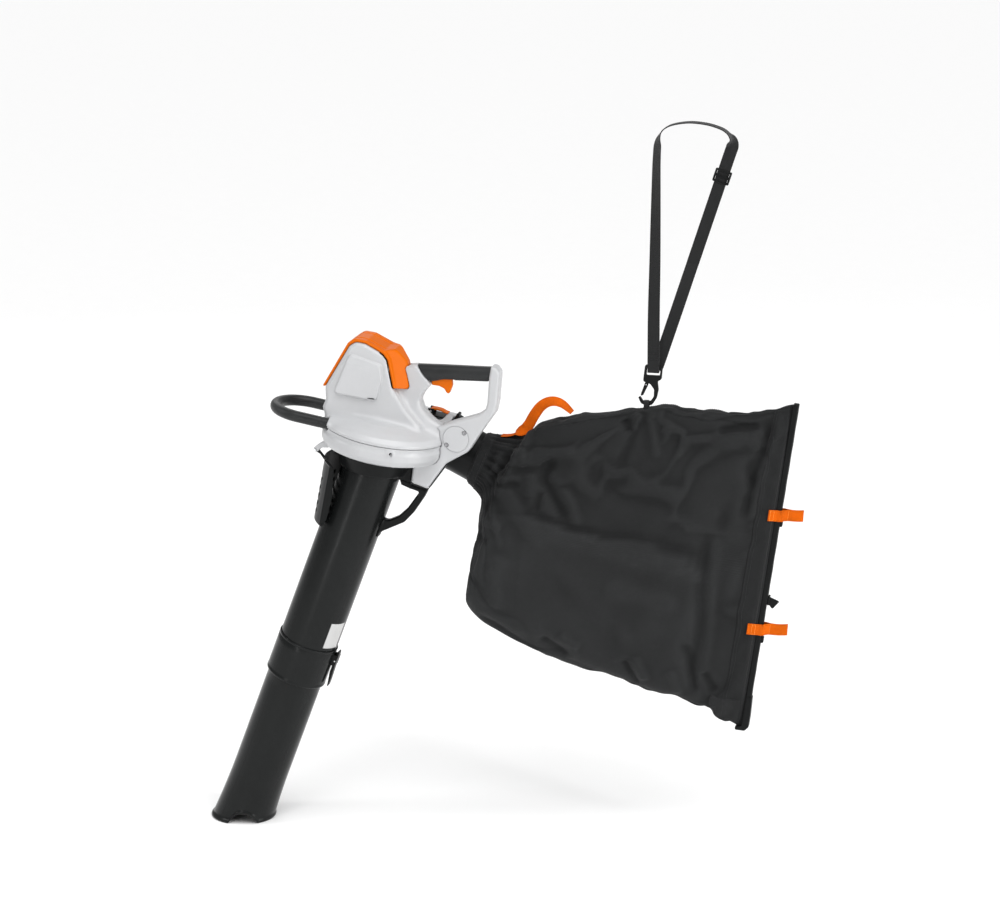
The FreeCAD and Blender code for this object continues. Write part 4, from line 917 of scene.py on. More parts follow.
# ---------------- rear grip (row frame) ----------------
def grip_fn(x, y, z):
    xs = [-110, -104, -78, -56, -34, 20, 80]
    zc = np.interp(x, xs, [-4.6, -4.5, -4.2, -2.2, 0.2, 0.8, 1.2])
    hh = np.interp(x, xs, [20.6, 20.6, 20.5, 18.8, 16.7, 16.2, 16.0])
    hw = np.interp(x, xs, [17.6, 17.6, 17.8, 17.8, 16.6, 16.1, 15.9])
    # fine rings of texture in one band along the grip
    gr = 0.32 * np.clip(np.cos(x * 2 * math.pi / 3.4), 0, 1) * ((x > 26) & (x < 58))
    q = np.sqrt((y / hw) ** 2 + ((z - zc) / hh) ** 2)
    f = (q - 1) * np.minimum(hh, hw) + gr
    # palm swell and parting line
    f = cut(f, np.sqrt(y ** 2 + (z - zc - hh) ** 2) - 0.55, 0.5)
    f = smax(f, -sdpoly(x, z, [(-150, 60), (-127, 60), (-91.3, 14.4), (-54.6, -33), (-40, -52), (-150, -52)]), 0.8)
    f = smax(f, -sdpoly(x, z, [(84.5, 56), (70.2, 16.2), (59.2, -15.4), (50, -42), (150, -42), (150, 56)]), 0.8)
    f = np.maximum(f, -sdbox(x, y, z, (-130, 75, -9.5, 9.5, -9, 9), 0.5))
    f = np.maximum(f, -sdbox(x, y, z, (-66, -13, -8, 8, -34, -8), 0.5))
    return f


sdf_piece("grip_sleeve", grip_fn, (-116, -18, -30), (76, 18, 20), 1.05, RR, M_GRIP, "machine", ["rear_grip"], blur=1)

TRIG = [(-62, -16), (-62, -27.5), (-46, -29.0), (-35, -34), (-30, -42.5), (-24.5, -45), (-17.5, -27), (-18.5, -12.5), (-50, -12), (-58, -9.5)]
sdf_piece("trigger_lever", lambda x, y, z: np.maximum(ext(sdpoly(x, z, rpoly(TRIG, [3, 3, 6, 6, 4, 3, 5, 2, 2, 3])), np.abs(y) - 7, 2.6), -sdcyl(x, y, z, (-57, -10, -14), (-57, 10, -14), 2.0, 0.1)), (-63, -8, -46), (-16, 8, -9), 0.62, RR, M_ORANGE, "trigger", ["trigger"])

# ---------------- front loop handle ----------------
path = [(-96.5, -64, 14)] + [(-176 + 0, -64, 14)] + [(-176 - 64 * math.sin(t), -64 * math.cos(t), 14) for t in np.linspace(0.05, math.pi - 0.05, 60)] + [(-176, 64, 14), (-96.5, 64, 14)]
LP = resample(path, 150)
LT = frames_along(LP)
sl = np.concatenate([[0], np.cumsum(np.linalg.norm(np.diff(LP, axis=0), axis=1))])
NS = 40
G = np.zeros((len(LP), NS, 3))
for k in range(len(LP)):
    A = np.cross(LT[k], [0, 0, 1.0])
    A /= np.linalg.norm(A)
    B = np.array([0, 0, 1.0])
    edge = min(sl[k], sl[-1] - sl[k])
    r = 11.95
    if 26 < edge < 27.8:
        r = 11.45
    for i in range(NS):
        t = 2 * math.pi * i / NS
        G[k, i] = LP[k] + (A * math.cos(t) + B * math.sin(t)) * (r - 0.25 * max(0, math.cos(2 * t)))
V, Q = grid_mesh(G, False, True)
fc = [list(q)[::-1] for q in Q] + [list(range(NS)), [(len(LP) - 1) * NS + i for i in range(NS)][::-1]]
place(mk("loop_handle_bar", to_row(RM, V), fc, M_GRIP), "machine", ["loop_handle"])


# ---------------- collar, tube and nozzle ----------------
def t_to_m(x, y, z):
    """Tube frame coordinates to machine frame coordinates."""
    rx, rz = x * R20[0, 0] + z * R20[0, 2] - 154.74 + 167, x * R20[2, 0] + z * R20[2, 2] - 110 + 141
    return rx * R10[0, 0] + rz * R10[2, 0], y, rx * R10[0, 2] + rz * R10[2, 2]


def m_to_t(x, y, z):
    rx, rz = x * R10[0, 0] + z * R10[0, 2] - 167 + 154.74, x * R10[2, 0] + z * R10[2, 2] - 141 + 110
    return rx * R20[0, 0] + rz * R20[2, 0], y, rx * R20[0, 2] + rz * R20[2, 2]


LUG = [(46, -46), (74.5, -46.2), (76, -88), (46, -84)]


def collar_fn(x, y, z):
    tx, ty, tz = m_to_t(x, y, z)
    rt = np.sqrt(tx * tx + ty * ty)
    rm = np.sqrt((x + 12) ** 2 + y * y)
    top = smax(smax(rm - (83.5 + np.clip((z + 46) / 32, -1, 0) * 13.5), z + 38.45, 1.5), -78 - z, 3)
    low = smax(smax(rt - (64.6 + np.clip((tz + 107) / 30, 0, 1.3) * 10.2), -108.5 - tz, 1.2), tz + 74, 3)
    f = smin(top, low, 7)
    bead = np.sqrt((rt - 64.6) ** 2 + (tz + 106.4) ** 2) - 1.3
    f = smin(f, bead, 1.0)
    lug = ext(sdpoly(x, z, rpoly(LUG, 3)), np.abs(y) - 13, 2)
    f = smin(f, lug, 7)
    inner = smin(smax(rm - (80.5 + np.clip((z + 46) / 32, -1, 0) * 13.5), -80 - z, 2), smax(rt - (60.4 + np.clip((tz + 107) / 30, 0, 1.6) * 10.4), tz + 66, 3), 5)
    f = np.maximum(f, -inner)
    f = np.maximum(f, -np.maximum(rt - 63.15, tz + 100))
    f = np.maximum(f, z + 38.3)
    return f


sdf_piece("tube_collar", collar_fn, (-118, -85, -128), (78, 85, -38), 1.5, RM, M_BLACK, "upper_tube")


def round_prof(pts, r, seg=5):
    return rpoly(pts, r, seg)


# upper tube wall
lathe("tube_upper_wall", round_prof([(60.3, -96), (63.0, -96), (63.0, -556), (62.6, -560), (60.6, -560), (60.3, -556)], [0.8, 0.8, 0.2, 0.8, 0.8, 0.2]), 160, RT_, M_TUBE, "upper_tube", ["suction_tube_upper"])

# lower tube: sleeve, wall, flare, level lip with a swollen rim and an arched notch on the near side
LIPZ = -1022.0
lipc = -154.74 + (LIPZ + 110) * math.tan(math.radians(20.5))


def lip_edge(th):
    """How far down (tube frame z) the wall reaches at angle th."""
    zt = -846.0
    r = 70.1
    lo, hi = -1110.0, -900.0
    for _ in range(40):
        z = (lo + hi) / 2
        r = 59.9 + 10.2 * min(1.1, max(0, (-846 - z) / 200)) ** 1.7
        p = R20 @ np.array([r * math.cos(th), r * math.sin(th), z]) + RT_[1]
        lim = LIPZ
        if p[1] < 0:
            dx = p[0] - (lipc + 15)
            if abs(dx) < 30.5:
                arch = LIPZ - 7.5 + math.sqrt(30.5 ** 2 - dx * dx)
                if arch > LIPZ:
                    lim = arch
        if p[2] > lim:
            hi = z
        else:
            lo = z
    return (lo + hi) / 2


NT_ = 260
ths = np.linspace(0, 2 * math.pi, NT_, endpoint=False)
edge = np.array([lip_edge(t) for t in ths])
for _ in range(3):
    edge = 0.25 * np.roll(edge, 1) + 0.5 * edge + 0.25 * np.roll(edge, -1)
edge = np.maximum(edge, np.array([lip_edge(t) for t in ths]) - 0.0)


def rad_out(z):
    return 59.9 + 10.2 * np.clip((-846 - z) / 200, 0, 1.1) ** 1.7


rings = []


def ring_const(r, z):
    return np.stack([r * np.cos(ths), r * np.sin(ths), np.full(NT_, z)], 1)


for r, z in ((63.45, -527), (63.5, -525.6), (64.2, -525), (65.0, -525.1), (65.6, -525.9), (65.6, -529), (65.25, -529.8), (65.25, -531.2), (65.6, -532), (65.6, -545), (65.6, -560), (65.6, -590), (65.6, -605),
             (65.6, -610), (66.0, -611), (66.0, -614.2), (65.4, -615.6), (64.2, -616), (61.5, -616.2), (60.3, -617.2), (59.95, -619), (59.9, -640)):
    rings.append(ring_const(r, z))
for z in np.linspace(-680, -846, 8):
    rings.append(ring_const(59.9, z))
top_f = -846.0
for f in np.linspace(0.08, 0.86, 22):
    zz = top_f + (edge + 16.0 - top_f) * f / 0.86
    r = rad_out(zz)
    rings.append(np.stack([r * np.cos(ths), r * np.sin(ths), zz], 1))
for dr, dz in ((0.0, 13.0), (0.15, 10.5), (0.9, 8.6), (1.9, 7.2), (2.5, 5.2), (2.5, 2.6), (1.9, 0.9), (0.6, 0.15), (-0.6, 0.2), (-1.8, 1.2), (-2.5, 2.6), (-2.8, 6.0)):
    zz = edge + dz
    r = rad_out(zz) + dr
    rings.append(np.stack([r * np.cos(ths), r * np.sin(ths), zz], 1))
for f in np.linspace(0.86, 0.0, 14):
    zz = top_f + (edge + 12.0 - top_f) * f / 0.86
    r = rad_out(zz) - 2.7
    rings.append(np.stack([r * np.cos(ths), r * np.sin(ths), zz], 1))
for r, z in ((57.2, -800), (57.2, -700), (57.2, -640), (57.2, -567), (57.4, -563), (58.0, -562), (62.6, -562), (63.35, -561.4), (63.4, -558), (63.4, -540)):
    rings.append(ring_const(r, z))
P = np.array(rings)
V, Q = grid_mesh(P, True, True)
low_o = place(mk("tube_lower_wall", to_row(RT_, V), Q, M_TUBE), "lower_tube", ["suction_tube_lower"])

# joint sleeve furniture: clip lugs, release latch
sdf_piece("latch_lugs", lambda x, y, z: np.maximum(np.maximum(smin(sdbox(x, y, z, (60, 75.4, -13, -9.2, -560, -536), 1.4), sdbox(x, y, z, (60, 75.4, 9.2, 13, -560, -536), 1.4), 1.0), -(np.sqrt(x * x + y * y) - 65.3)), -sdcyl(x, y, z, (71.8, -20, -548), (71.8, 20, -548), 1.55, 0.1)), (60, -14, -561), (76, 14, -535), 0.6, RT_, M_BLACK, "lower_tube")
TL = [(70.2, -527), (73.2, -524), (75.0, -530), (75.2, -560), (76.6, -598), (76.2, -610), (73.6, -610), (72.2, -598), (68.6, -577), (68.6, -545)]


def tlatch(x, y, z):
    f = ext(sdpoly(x, z, rpoly(TL, [1, 2, 3, 8, 6, 1.4, 1.4, 4, 8, 4])), np.abs(y) - 8.8, 1.4)
    rib = 0.6 * np.clip(np.cos(z * 2 * math.pi / 4.2), 0, 1) * ((z < -578) & (z > -607) & (x > 73.5) & (np.abs(y) < 7.4))
    f = f + rib
    return np.maximum(f, -sdcyl(x, y, z, (71.8, -20, -548), (71.8, 20, -548), 1.62, 0.1))


sdf_piece("release_latch", tlatch, (68, -9, -611), (77.5, 9, -523), 0.6, RT_, M_BLACK, "tube_latch", ["tube_latch"])

# blank label, wraps the tube
t0, t1 = math.radians(-47), math.radians(-9)
n1, n2 = 40, 30
P = np.zeros((n1, n2, 3))
lab = []
for sgn, rr in ((0, 63.32), (1, 63.12)):
    for i in range(n1):
        for j in range(n2):
            u, v = i / (n1 - 1), j / (n2 - 1)
            a = t0 + (t1 - t0) * u
            z = -517 + 60 * v
            lab.append((rr * math.cos(a), rr * math.sin(a), z))
lab = np.array(lab)
I, J = np.meshgrid(np.arange(n1 - 1), np.arange(n2 - 1), indexing="ij")
q = np.stack([I * n2 + J, (I + 1) * n2 + J, (I + 1) * n2 + J + 1, I * n2 + J + 1], -1).reshape(-1, 4)
fl = [list(a) for a in q] + [[b + n1 * n2 for b in a[::-1]] for a in q]
bd = [i * n2 for i in range(n1)] + [(n1 - 1) * n2 + j for j in range(1, n2)] + [i * n2 + n2 - 1 for i in range(n1 - 2, -1, -1)] + [j for j in range(n2 - 2, 0, -1)]
for k in range(len(bd)):
    a, b = bd[k], bd[(k + 1) % len(bd)]
    fl.append([b, a, a + n1 * n2, b + n1 * n2])
place(mk("tube_label", to_row(RT_, lab), fl, M_LABEL), "upper_tube", ["blank_label"])

# bow behind the tube and the thin trim up the leg
BOW = [(74.4, -92.2), (114.5, -95.5), (109, -113), (92, -152), (76, -177), (24, -214), (8, -214), (12, -182), (41, -181), (61, -167), (78, -144), (93, -112), (97, -104), (74.4, -101)]


def bow_fn(x, y, z):
    f = ext(sdpoly(x, z, rpoly(BOW, [2, 4, 12, 18, 16, 4, 1, 1, 12, 14, 18, 8, 3, 2])), np.abs(y) - 10.5, 4.6)
    f2 = ext(sdpoly(x, z, rpoly([(50, -84), (76.5, -88), (76.5, -101), (56, -97)], 1.5)), np.abs(y) - 10.5, 2.5)
    f = smin(f, f2, 3)
    tx, ty, tz = m_to_t(x, y, z)
    rt = np.sqrt(tx * tx + ty * ty)
    pad = np.maximum(ext(sdpoly(x, z, rpoly([(4, -176), (30, -176), (36, -220), (2, -224)], 6)), np.abs(y) - 15, 4), rt - 66.0)
    f = smin(f, pad, 5)
    f = np.maximum(f, -(rt - 63.05))
    f = np.maximum(f, z + 84.6)
    return f


sdf_piece("tube_bow_grip", bow_fn, (2, -16, -226), (118, 16, -82), 0.95, RM, M_BLACK, "upper_tube", ["tube_bow"])
TR = [(145.6, -26), (187.6, 9.5), (189.5, 9.0), (147.3, -28.0), (116.2, -92.2), (114.9, -90.3)]
sdf_piece("leg_trim", lambda x, y, z: ext(sdpoly(x, z, rpoly(TR, [6, 1, 1, 8, 0.6, 0.6])), np.abs(y) - 13, 0.6), (113, -14, -94), (191, 14, 11), 0.62, RM, M_BLACK, "machine", blur=0)


# ---------------- intake screen ----------------
def screen_fn(x, y, z):
    ay = np.abs(y)
    hx = x
    x = x - 25.0 * (ay / 62.0) ** 2 * np.clip((-55.0 - z) / 22.0, 0, 1)
    pan = ext(sdpoly(x, z, rpoly([(-116.5, -66), (-111.5, -66), (-109.5, -204), (-119.0, -204)], 2)), ay - 66, 1.5)
    for i in range(2, 7):
        z1 = -78 - 17.3 * i
        pan = np.maximum(pan, -sdbox(x, y, z, (-130, -100, -39, 39, z1 - 7.0, z1), 1.2))
    for yy in (-28.6, -14.3, 0, 14.3, 28.6):
        pan = np.minimum(pan, ext(sdpoly(x, z, [(-116.0, -68), (-113, -68), (-111, -202), (-118.5, -202)]), np.abs(y - yy) - 1.5, 0.5))
    arm = sdpoly(x, z, rpoly([(-135, -50), (-131, -49), (-124, -52), (-111.5, -67), (-111.5, -74), (-117.0, -74), (-124, -62), (-135, -58)], [3, 2, 2, 3, 1, 1, 3, 3]))
    for y0 in (-39.8, 34.8):
        pan = smin(pan, ext(arm, np.abs(y - y0 - 2.5) - 2.5, 0.8), 1.5)
    side = sdpoly(x, z, rpoly([(-116.5, -64), (-108, -64), (-104.5, -104), (-100.5, -140), (-105, -192), (-111, -208), (-119.0, -200)], [3, 4, 12, 16, 10, 5, 4]))
    pan = smin(pan, ext(side, np.abs(ay - 64) - 2, 0.9), 1.2)
    # stiffening bead across the foot
    pan = smin(pan, capsule(x, y, z, (-114.5, -63, -206), (-114.5, 63, -206), 4.6), 2)
    return np.maximum(pan, -sdcyl(hx, y, z, (-131, -60, -54), (-131, 60, -54), 2.6, 0.1))


sdf_piece("intake_guard", screen_fn, (-136, -67, -213), (-70, 67, -48), 1.1, RM, M_BLACK, "intake_screen", ["intake_screen"])


# ---------------- outlet duct and its latch ----------------
def duct_fn(x, y, z):
    R = np.sqrt(x * x + y * y)
    f = ext(R - 55.0, np.abs(z - 2) - 2, 0.8)
    f = smin(f, ext(R - 53.5, np.abs(z - 64) - 62, 1.0), 2.5)
    f = smin(f, ext(R - 55.7, np.abs(z - 114.5) - 2.5, 1.6), 2)
    for zz in (30, 34.5, 39):
        f = smin(f, np.sqrt((R - 53.6) ** 2 + (z - zz) ** 2) - 1.0, 1.2)
    for k in range(4):
        a = math.radians(45 + 90 * k)
        f = smin(f, ext(np.maximum(np.abs(-x * math.sin(a) + y * math.cos(a)) - 1.3, R - 55.0), np.maximum(5 - z, z - 27), 0.4), 1.0)
    f = smin(f, smin(sdbox(x, y, z, (-67.5, -50.0, -11, 11, 2.2, 9), 1.4), sdbox(x, y, z, (-62, -50, -11, 11, 2.2, 18), 1.8), 1.5), 2.2)
    f = np.maximum(f, -np.maximum(R - 50.5, 4 - z))
    f = np.maximum(f, -(R - 38.0))
    return f


sdf_piece("outlet_duct", duct_fn, (-69, -57, 0), (57, 57, 127), 1.35, RD, M_BLACK, "collector", ["discharge_duct"])
LEV = [(73.2, 51.7), (72.6, 56.5), (76, 60.2), (84, 61.6), (98, 61.2), (107, 58.2), (114, 57.6), (114.2, 55.0), (106, 55.2), (97, 57.8), (87, 57.6), (82.3, 56), (80.8, 51.7)]


def lever_fn(x, y, z):
    f = ext(sdpoly(x, z, rpoly(LEV, [2, 4, 4, 6, 10, 6, 1.2, 1.2, 6, 8, 6, 3, 2])), np.abs(y - 76) - 9.6, 1.5)
    f = f + 0.5 * np.clip(np.cos(x * 2 * math.pi / 3.6), 0, 1) * ((x > 94) & (x < 112) & (z > 57.5) & (np.abs(y - 76) < 7.6))
    return np.maximum(f, -sdcyl(x, y, z, (77, 60, 55), (77, 92, 55), 2.12, 0.1))


sdf_piece("outlet_latch_lever", lever_fn, (72, 65, 51), (128, 87, 69), 0.62, RM, M_ORANGE, "outlet_latch", ["outlet_latch"])
sdf_piece("outlet_latch_bracket", lambda x, y, z: np.maximum(smin(smin(sdbox(x, y, z, (63, 109, 55, 97, 45.9, 48.4), 1.0), sdbox(x, y, z, (70, 84, 62, 66, 47, 60), 1.6), 1.0), sdbox(x, y, z, (70, 84, 86, 90, 47, 60), 1.6), 1.0), -sdcyl(x, y, z, (77, 60, 55), (77, 92, 55), 2.05, 0.1)), (62, 54, 45), (110, 98, 61), 0.7, RM, M_BLACK, "machine", ["outlet_latch_base"])


# ---------------- battery ----------------
def batt_fn(x, y, z):
    b = BATT
    f = sdbox(x, y, z, (b[0], b[1], b[4], b[5], b[2], b[3]), 3.0)
    f = np.maximum(f, -sdbox(x, y, z, (-72, -42, 50, 75, 147.5, 175), 1.0))
    f = np.maximum(f, -sdbox(x, y, z, (-76, -38, 57, 75, 100, 112), 2.0))
    # frame line round the end cap and four grip grooves across the end face
    ring = np.abs(y - 44.5) - 0.55
    f = smax(f, -np.maximum(ring, -(np.maximum(np.abs(x + 57) - 29.2, np.abs(z - 126) - 34.2))), 0.3)
    for zz in (118, 124, 130, 136):
        f = np.maximum(f, -sdbox(x, y, z, (-70, -44, 62.9, 70, zz - 1, zz + 1), 0.4))
    return f


sdf_piece("battery_case", batt_fn, (-88, -47, 90), (-26, 65, 162), 1.15, RM, M_BATT, "battery", ["battery_pack"])
sdf_piece("battery_latch_key", lambda x, y, z: np.maximum(ext(sdpoly(x, z, rpoly([(-70, 149.5), (-44, 149.5), (-44, 158.5), (-70, 158.5)], 1.8)), np.abs(y - 57.4) - 5.4, 1.2) + 0.45 * np.clip(np.cos(x * 2 * math.pi / 3.2), 0, 1) * ((y > 61.4) & (np.abs(x + 57) < 10)), -sdcyl(x, y, z, (-90, 54.4, 154), (-20, 54.4, 154), 1.72, 0.1)), (-71, 51, 149), (-43, 64, 159), 0.6, RM, M_ORANGE, "battery_latch", ["battery_latch"])

# =====================================================================
# bag
# =====================================================================
ST = np.array([(37.7, -145.0, -2.7, -253.4, 57.8, 1.00, 1.00), (61, -148.5, 14, -269.5, 60.5, 1.00, 1.00), (88, -149, 29, -290, 66.0, 1.00, 1.00), (124, -142, 24, -340, 76.0, 1.0, 1.0),
               (143, -119, 6, -428, 84.0, 0.96, 0.9), (166, -105, -5, -512, 88.0, 0.94, 0.85), (206, -97, 28, -556, 90.0, 0.9, 0.8),
               (270, -88, 126, -602, 90.0, 0.86, 0.8), (340, -80, 215, -636, 86.0, 0.84, 0.8), (420, -66, 298, -655, 79.0, 0.82, 0.8),
               (500, -68, 402, -688, 66.0, 0.8, 0.8), (575, -70, 482, -706, 49.0, 0.8, 0.8), (645, -60, 545, -742, 28.0, 0.8, 0.8), (688, -46, 594, -758, 7.0, 0.8, 0.8)])
BAG_Y = 76.0


def station_curve(n):
    """Stations read as a smooth run, with even spacing along the bag."""
    q = spline(np.concatenate([ST, ], 0) * np.array([1, 1, 1, 1, 1, 100, 100]), n)
    q = q / np.array([1, 1, 1, 1, 1, 100, 100])
    q[-1] = ST[-1]
    return q


def bag_grid(nu, nv, off=0.0):
    S = station_curve(nu)
    t = 2 * math.pi * np.arange(nv) / nv
    cs, sn = np.cos(t), np.sin(t)
    P = np.zeros((nu, nv, 3))
    for i, (tx, tz, bx, bz, h, p, q) in enumerate(S):
        c = np.array([(tx + bx) / 2, BAG_Y, (tz + bz) / 2])
        d = np.array([tx - bx, 0, tz - bz])
        L = np.linalg.norm(d) / 2
        d = d / (2 * L)
        v = np.sign(cs) * np.abs(cs) ** p * (L - off)
        w = np.sign(sn) * np.abs(sn) ** q * max(h - off, 2.0)
        sag = 1.0 + 0.10 * (-cs) * min(1.0, max(0.0, (L - 60) / 100))
        P[i] = c + d * v[:, None]
        P[i, :, 1] += w * sag
    return P


NU, NV = 176, 248
t_all = 2 * math.pi * np.arange(NV) / NV


def normals(P):
    du = np.gradient(P, axis=0)
    dv = np.roll(P, -1, 1) - np.roll(P, 1, 1)
    n = np.cross(dv, du)
    n /= np.maximum(np.linalg.norm(n, axis=2, keepdims=True), 1e-9)
    c = P.mean(axis=(1), keepdims=True)
    s = np.sign(((P - c) * n).sum(2).mean())
    return n * s


B0 = bag_grid(NU, NV, 1.2)
uu = np.linspace(0, 1, NU)[:, None] * np.ones(NV)[None]


def simulate_bag(P):
    """Slack cloth: a copy of the bag, a little too large for its own outline, settles under a light push from inside."""
    mu, mv = 88, 124
    iu = np.round(np.linspace(0, NU - 1, mu)).astype(int)
    iv = (np.arange(mv) * NV // mv)
    C = P[np.ix_(iu, iv)]
    V, Q = grid_mesh(C, False, True)
    o = mk("bag_sim", V * MM, Q, M_FAB)
    g = o.vertex_groups.new(name="pin")
    N = len(V)
    ui = np.repeat(np.arange(mu), mv) / (mu - 1)
    vi = np.tile(np.arange(mv), mu) * 2 * math.pi / mv
    for k in range(N):
        w = 0.0
        if ui[k] < 0.055:
            w = 1.0
        elif ui[k] < 0.11:
            w = 0.5
        if ui[k] > 0.985:
            w = 1.0
        d = math.hypot(V[k][0] - 379, V[k][2] + 73)
        if d < 16 and abs(V[k][1] - BAG_Y) < 16:
            w = 1.0
        if w > 0:
            g.add([k], w, "REPLACE")
    md = o.modifiers.new("Cloth", "CLOTH")
    s = md.settings
    s.quality = 6
    s.mass = 0.25
    s.tension_stiffness = 25
    s.compression_stiffness = 25
    s.shear_stiffness = 8
    s.bending_stiffness = 0.35
    s.vertex_group_mass = "pin"
    s.shrink_min = -0.045
    s.use_pressure = True
    s.uniform_pressure_force = 1.6
    s.effector_weights.gravity = 0.12
    md.collision_settings.use_collision = False
    md.collision_settings.use_self_collision = False
    md.point_cache.frame_start, md.point_cache.frame_end = 1, 22
    for f in range(1, 23):
        bpy.context.scene.frame_set(f)
    dg = bpy.context.evaluated_depsgraph_get()
    e = o.evaluated_get(dg)
    co = np.zeros(len(e.data.vertices) * 3, np.float32)
    e.data.vertices.foreach_get("co", co)
    D = co.reshape(mu, mv, 3) / MM - C
    bpy.data.objects.remove(o)
    bpy.context.scene.frame_set(1)
    L = np.linalg.norm(D, axis=2, keepdims=True)
    print("bag sim moved, mean %.1f max %.1f mm" % (L.mean(), L.max()))
    return D, iu, mv


def upsample(D, iu, mv):
    x = np.arange(NU)
    A = np.zeros((NU, mv, 3))
    for j in range(mv):
        for k in range(3):
            A[:, j, k] = np.interp(x, iu, D[:, j, k])
    y = np.arange(NV) * mv / NV
    j0 = np.floor(y).astype(int) % mv
    j1 = (j0 + 1) % mv
    f = (y - np.floor(y))[None, :, None]
    f = f * f * (3 - 2 * f)
    R = A[:, j0] * (1 - f) + A[:, j1] * f
    for _ in range(2):
        R[1:-1] = 0.25 * R[:-2] + 0.5 * R[1:-1] + 0.25 * R[2:]
        R = 0.25 * np.roll(R, 1, 1) + 0.5 * R + 0.25 * np.roll(R, -1, 1)
    return R


P = B0.copy()
D, iu, mv = simulate_bag(B0)
D = upsample(D, iu, mv)
Nn = normals(B0)
# keep the low, broad part of the swelling out, so that the outline stays; the creases are what is wanted
lowp = D.copy()
for _ in range(60):
    lowp[1:-1] = 0.25 * lowp[:-2] + 0.5 * lowp[1:-1] + 0.25 * lowp[2:]
    lowp = 0.25 * np.roll(lowp, 1, 1) + 0.5 * lowp + 0.25 * np.roll(lowp, -1, 1)
D = (D - lowp) + 0.12 * lowp
L = np.linalg.norm(D, axis=2, keepdims=True)
D *= np.minimum(1.0, 6.0 / np.maximum(L, 1e-6))
P = P + D


def poly_dist(X, Z, pts):
    """Distance to a line of points, the side (+ or -) and how far along it, 0 to 1."""
    pts = np.asarray(spline(pts, 40), float)
    best = np.full(X.shape, 1e9)
    side = np.zeros(X.shape)
    al = np.zeros(X.shape)
    n = len(pts) - 1
    for i in range(n):
        a, b = pts[i], pts[i + 1]
        d = b - a
        L2 = max(d @ d, 1e-9)
        t = ((X - a[0]) * d[0] + (Z - a[1]) * d[1]) / L2
        tc = np.clip(t, 0, 1)
        qx, qz = X - a[0] - d[0] * tc, Z - a[1] - d[1] * tc
        D2 = qx * qx + qz * qz
        m = D2 < best
        best = np.where(m, D2, best)
        side = np.where(m, np.sign(d[0] * qz - d[1] * qx), side)
        al = np.where(m, (i + tc) / n, al)
    return np.sqrt(best), side, al


def fold(X, Z, pts, amp, w, kind="ridge", fade=0.18):
    amp = amp * 1.9
    d, s, a = poly_dist(X, Z, pts)
    env = np.clip(np.minimum(a, 1 - a) / fade, 0, 1)
    env = env * env * (3 - 2 * env)
    if kind == "ridge":
        return amp * env * np.exp(-(d / w) ** 2)
    if kind == "ledge":
        g = -d * s
        return amp * env * (0.5 * (1 + np.tanh(g / w)) * np.exp(-np.maximum(g, 0) / 60.0) - 0.40 * np.exp(-((g + 1.7 * w) / (1.5 * w)) ** 2))
    if kind == "step":
        q = d * s / w
        return amp * env * q * np.exp(0.5 - 0.5 * q * q)
    q = d * s / w
    return amp * env * (np.exp(-(q - 0.55) ** 2 * 2.2) - 0.8 * np.exp(-(q + 0.55) ** 2 * 2.2))


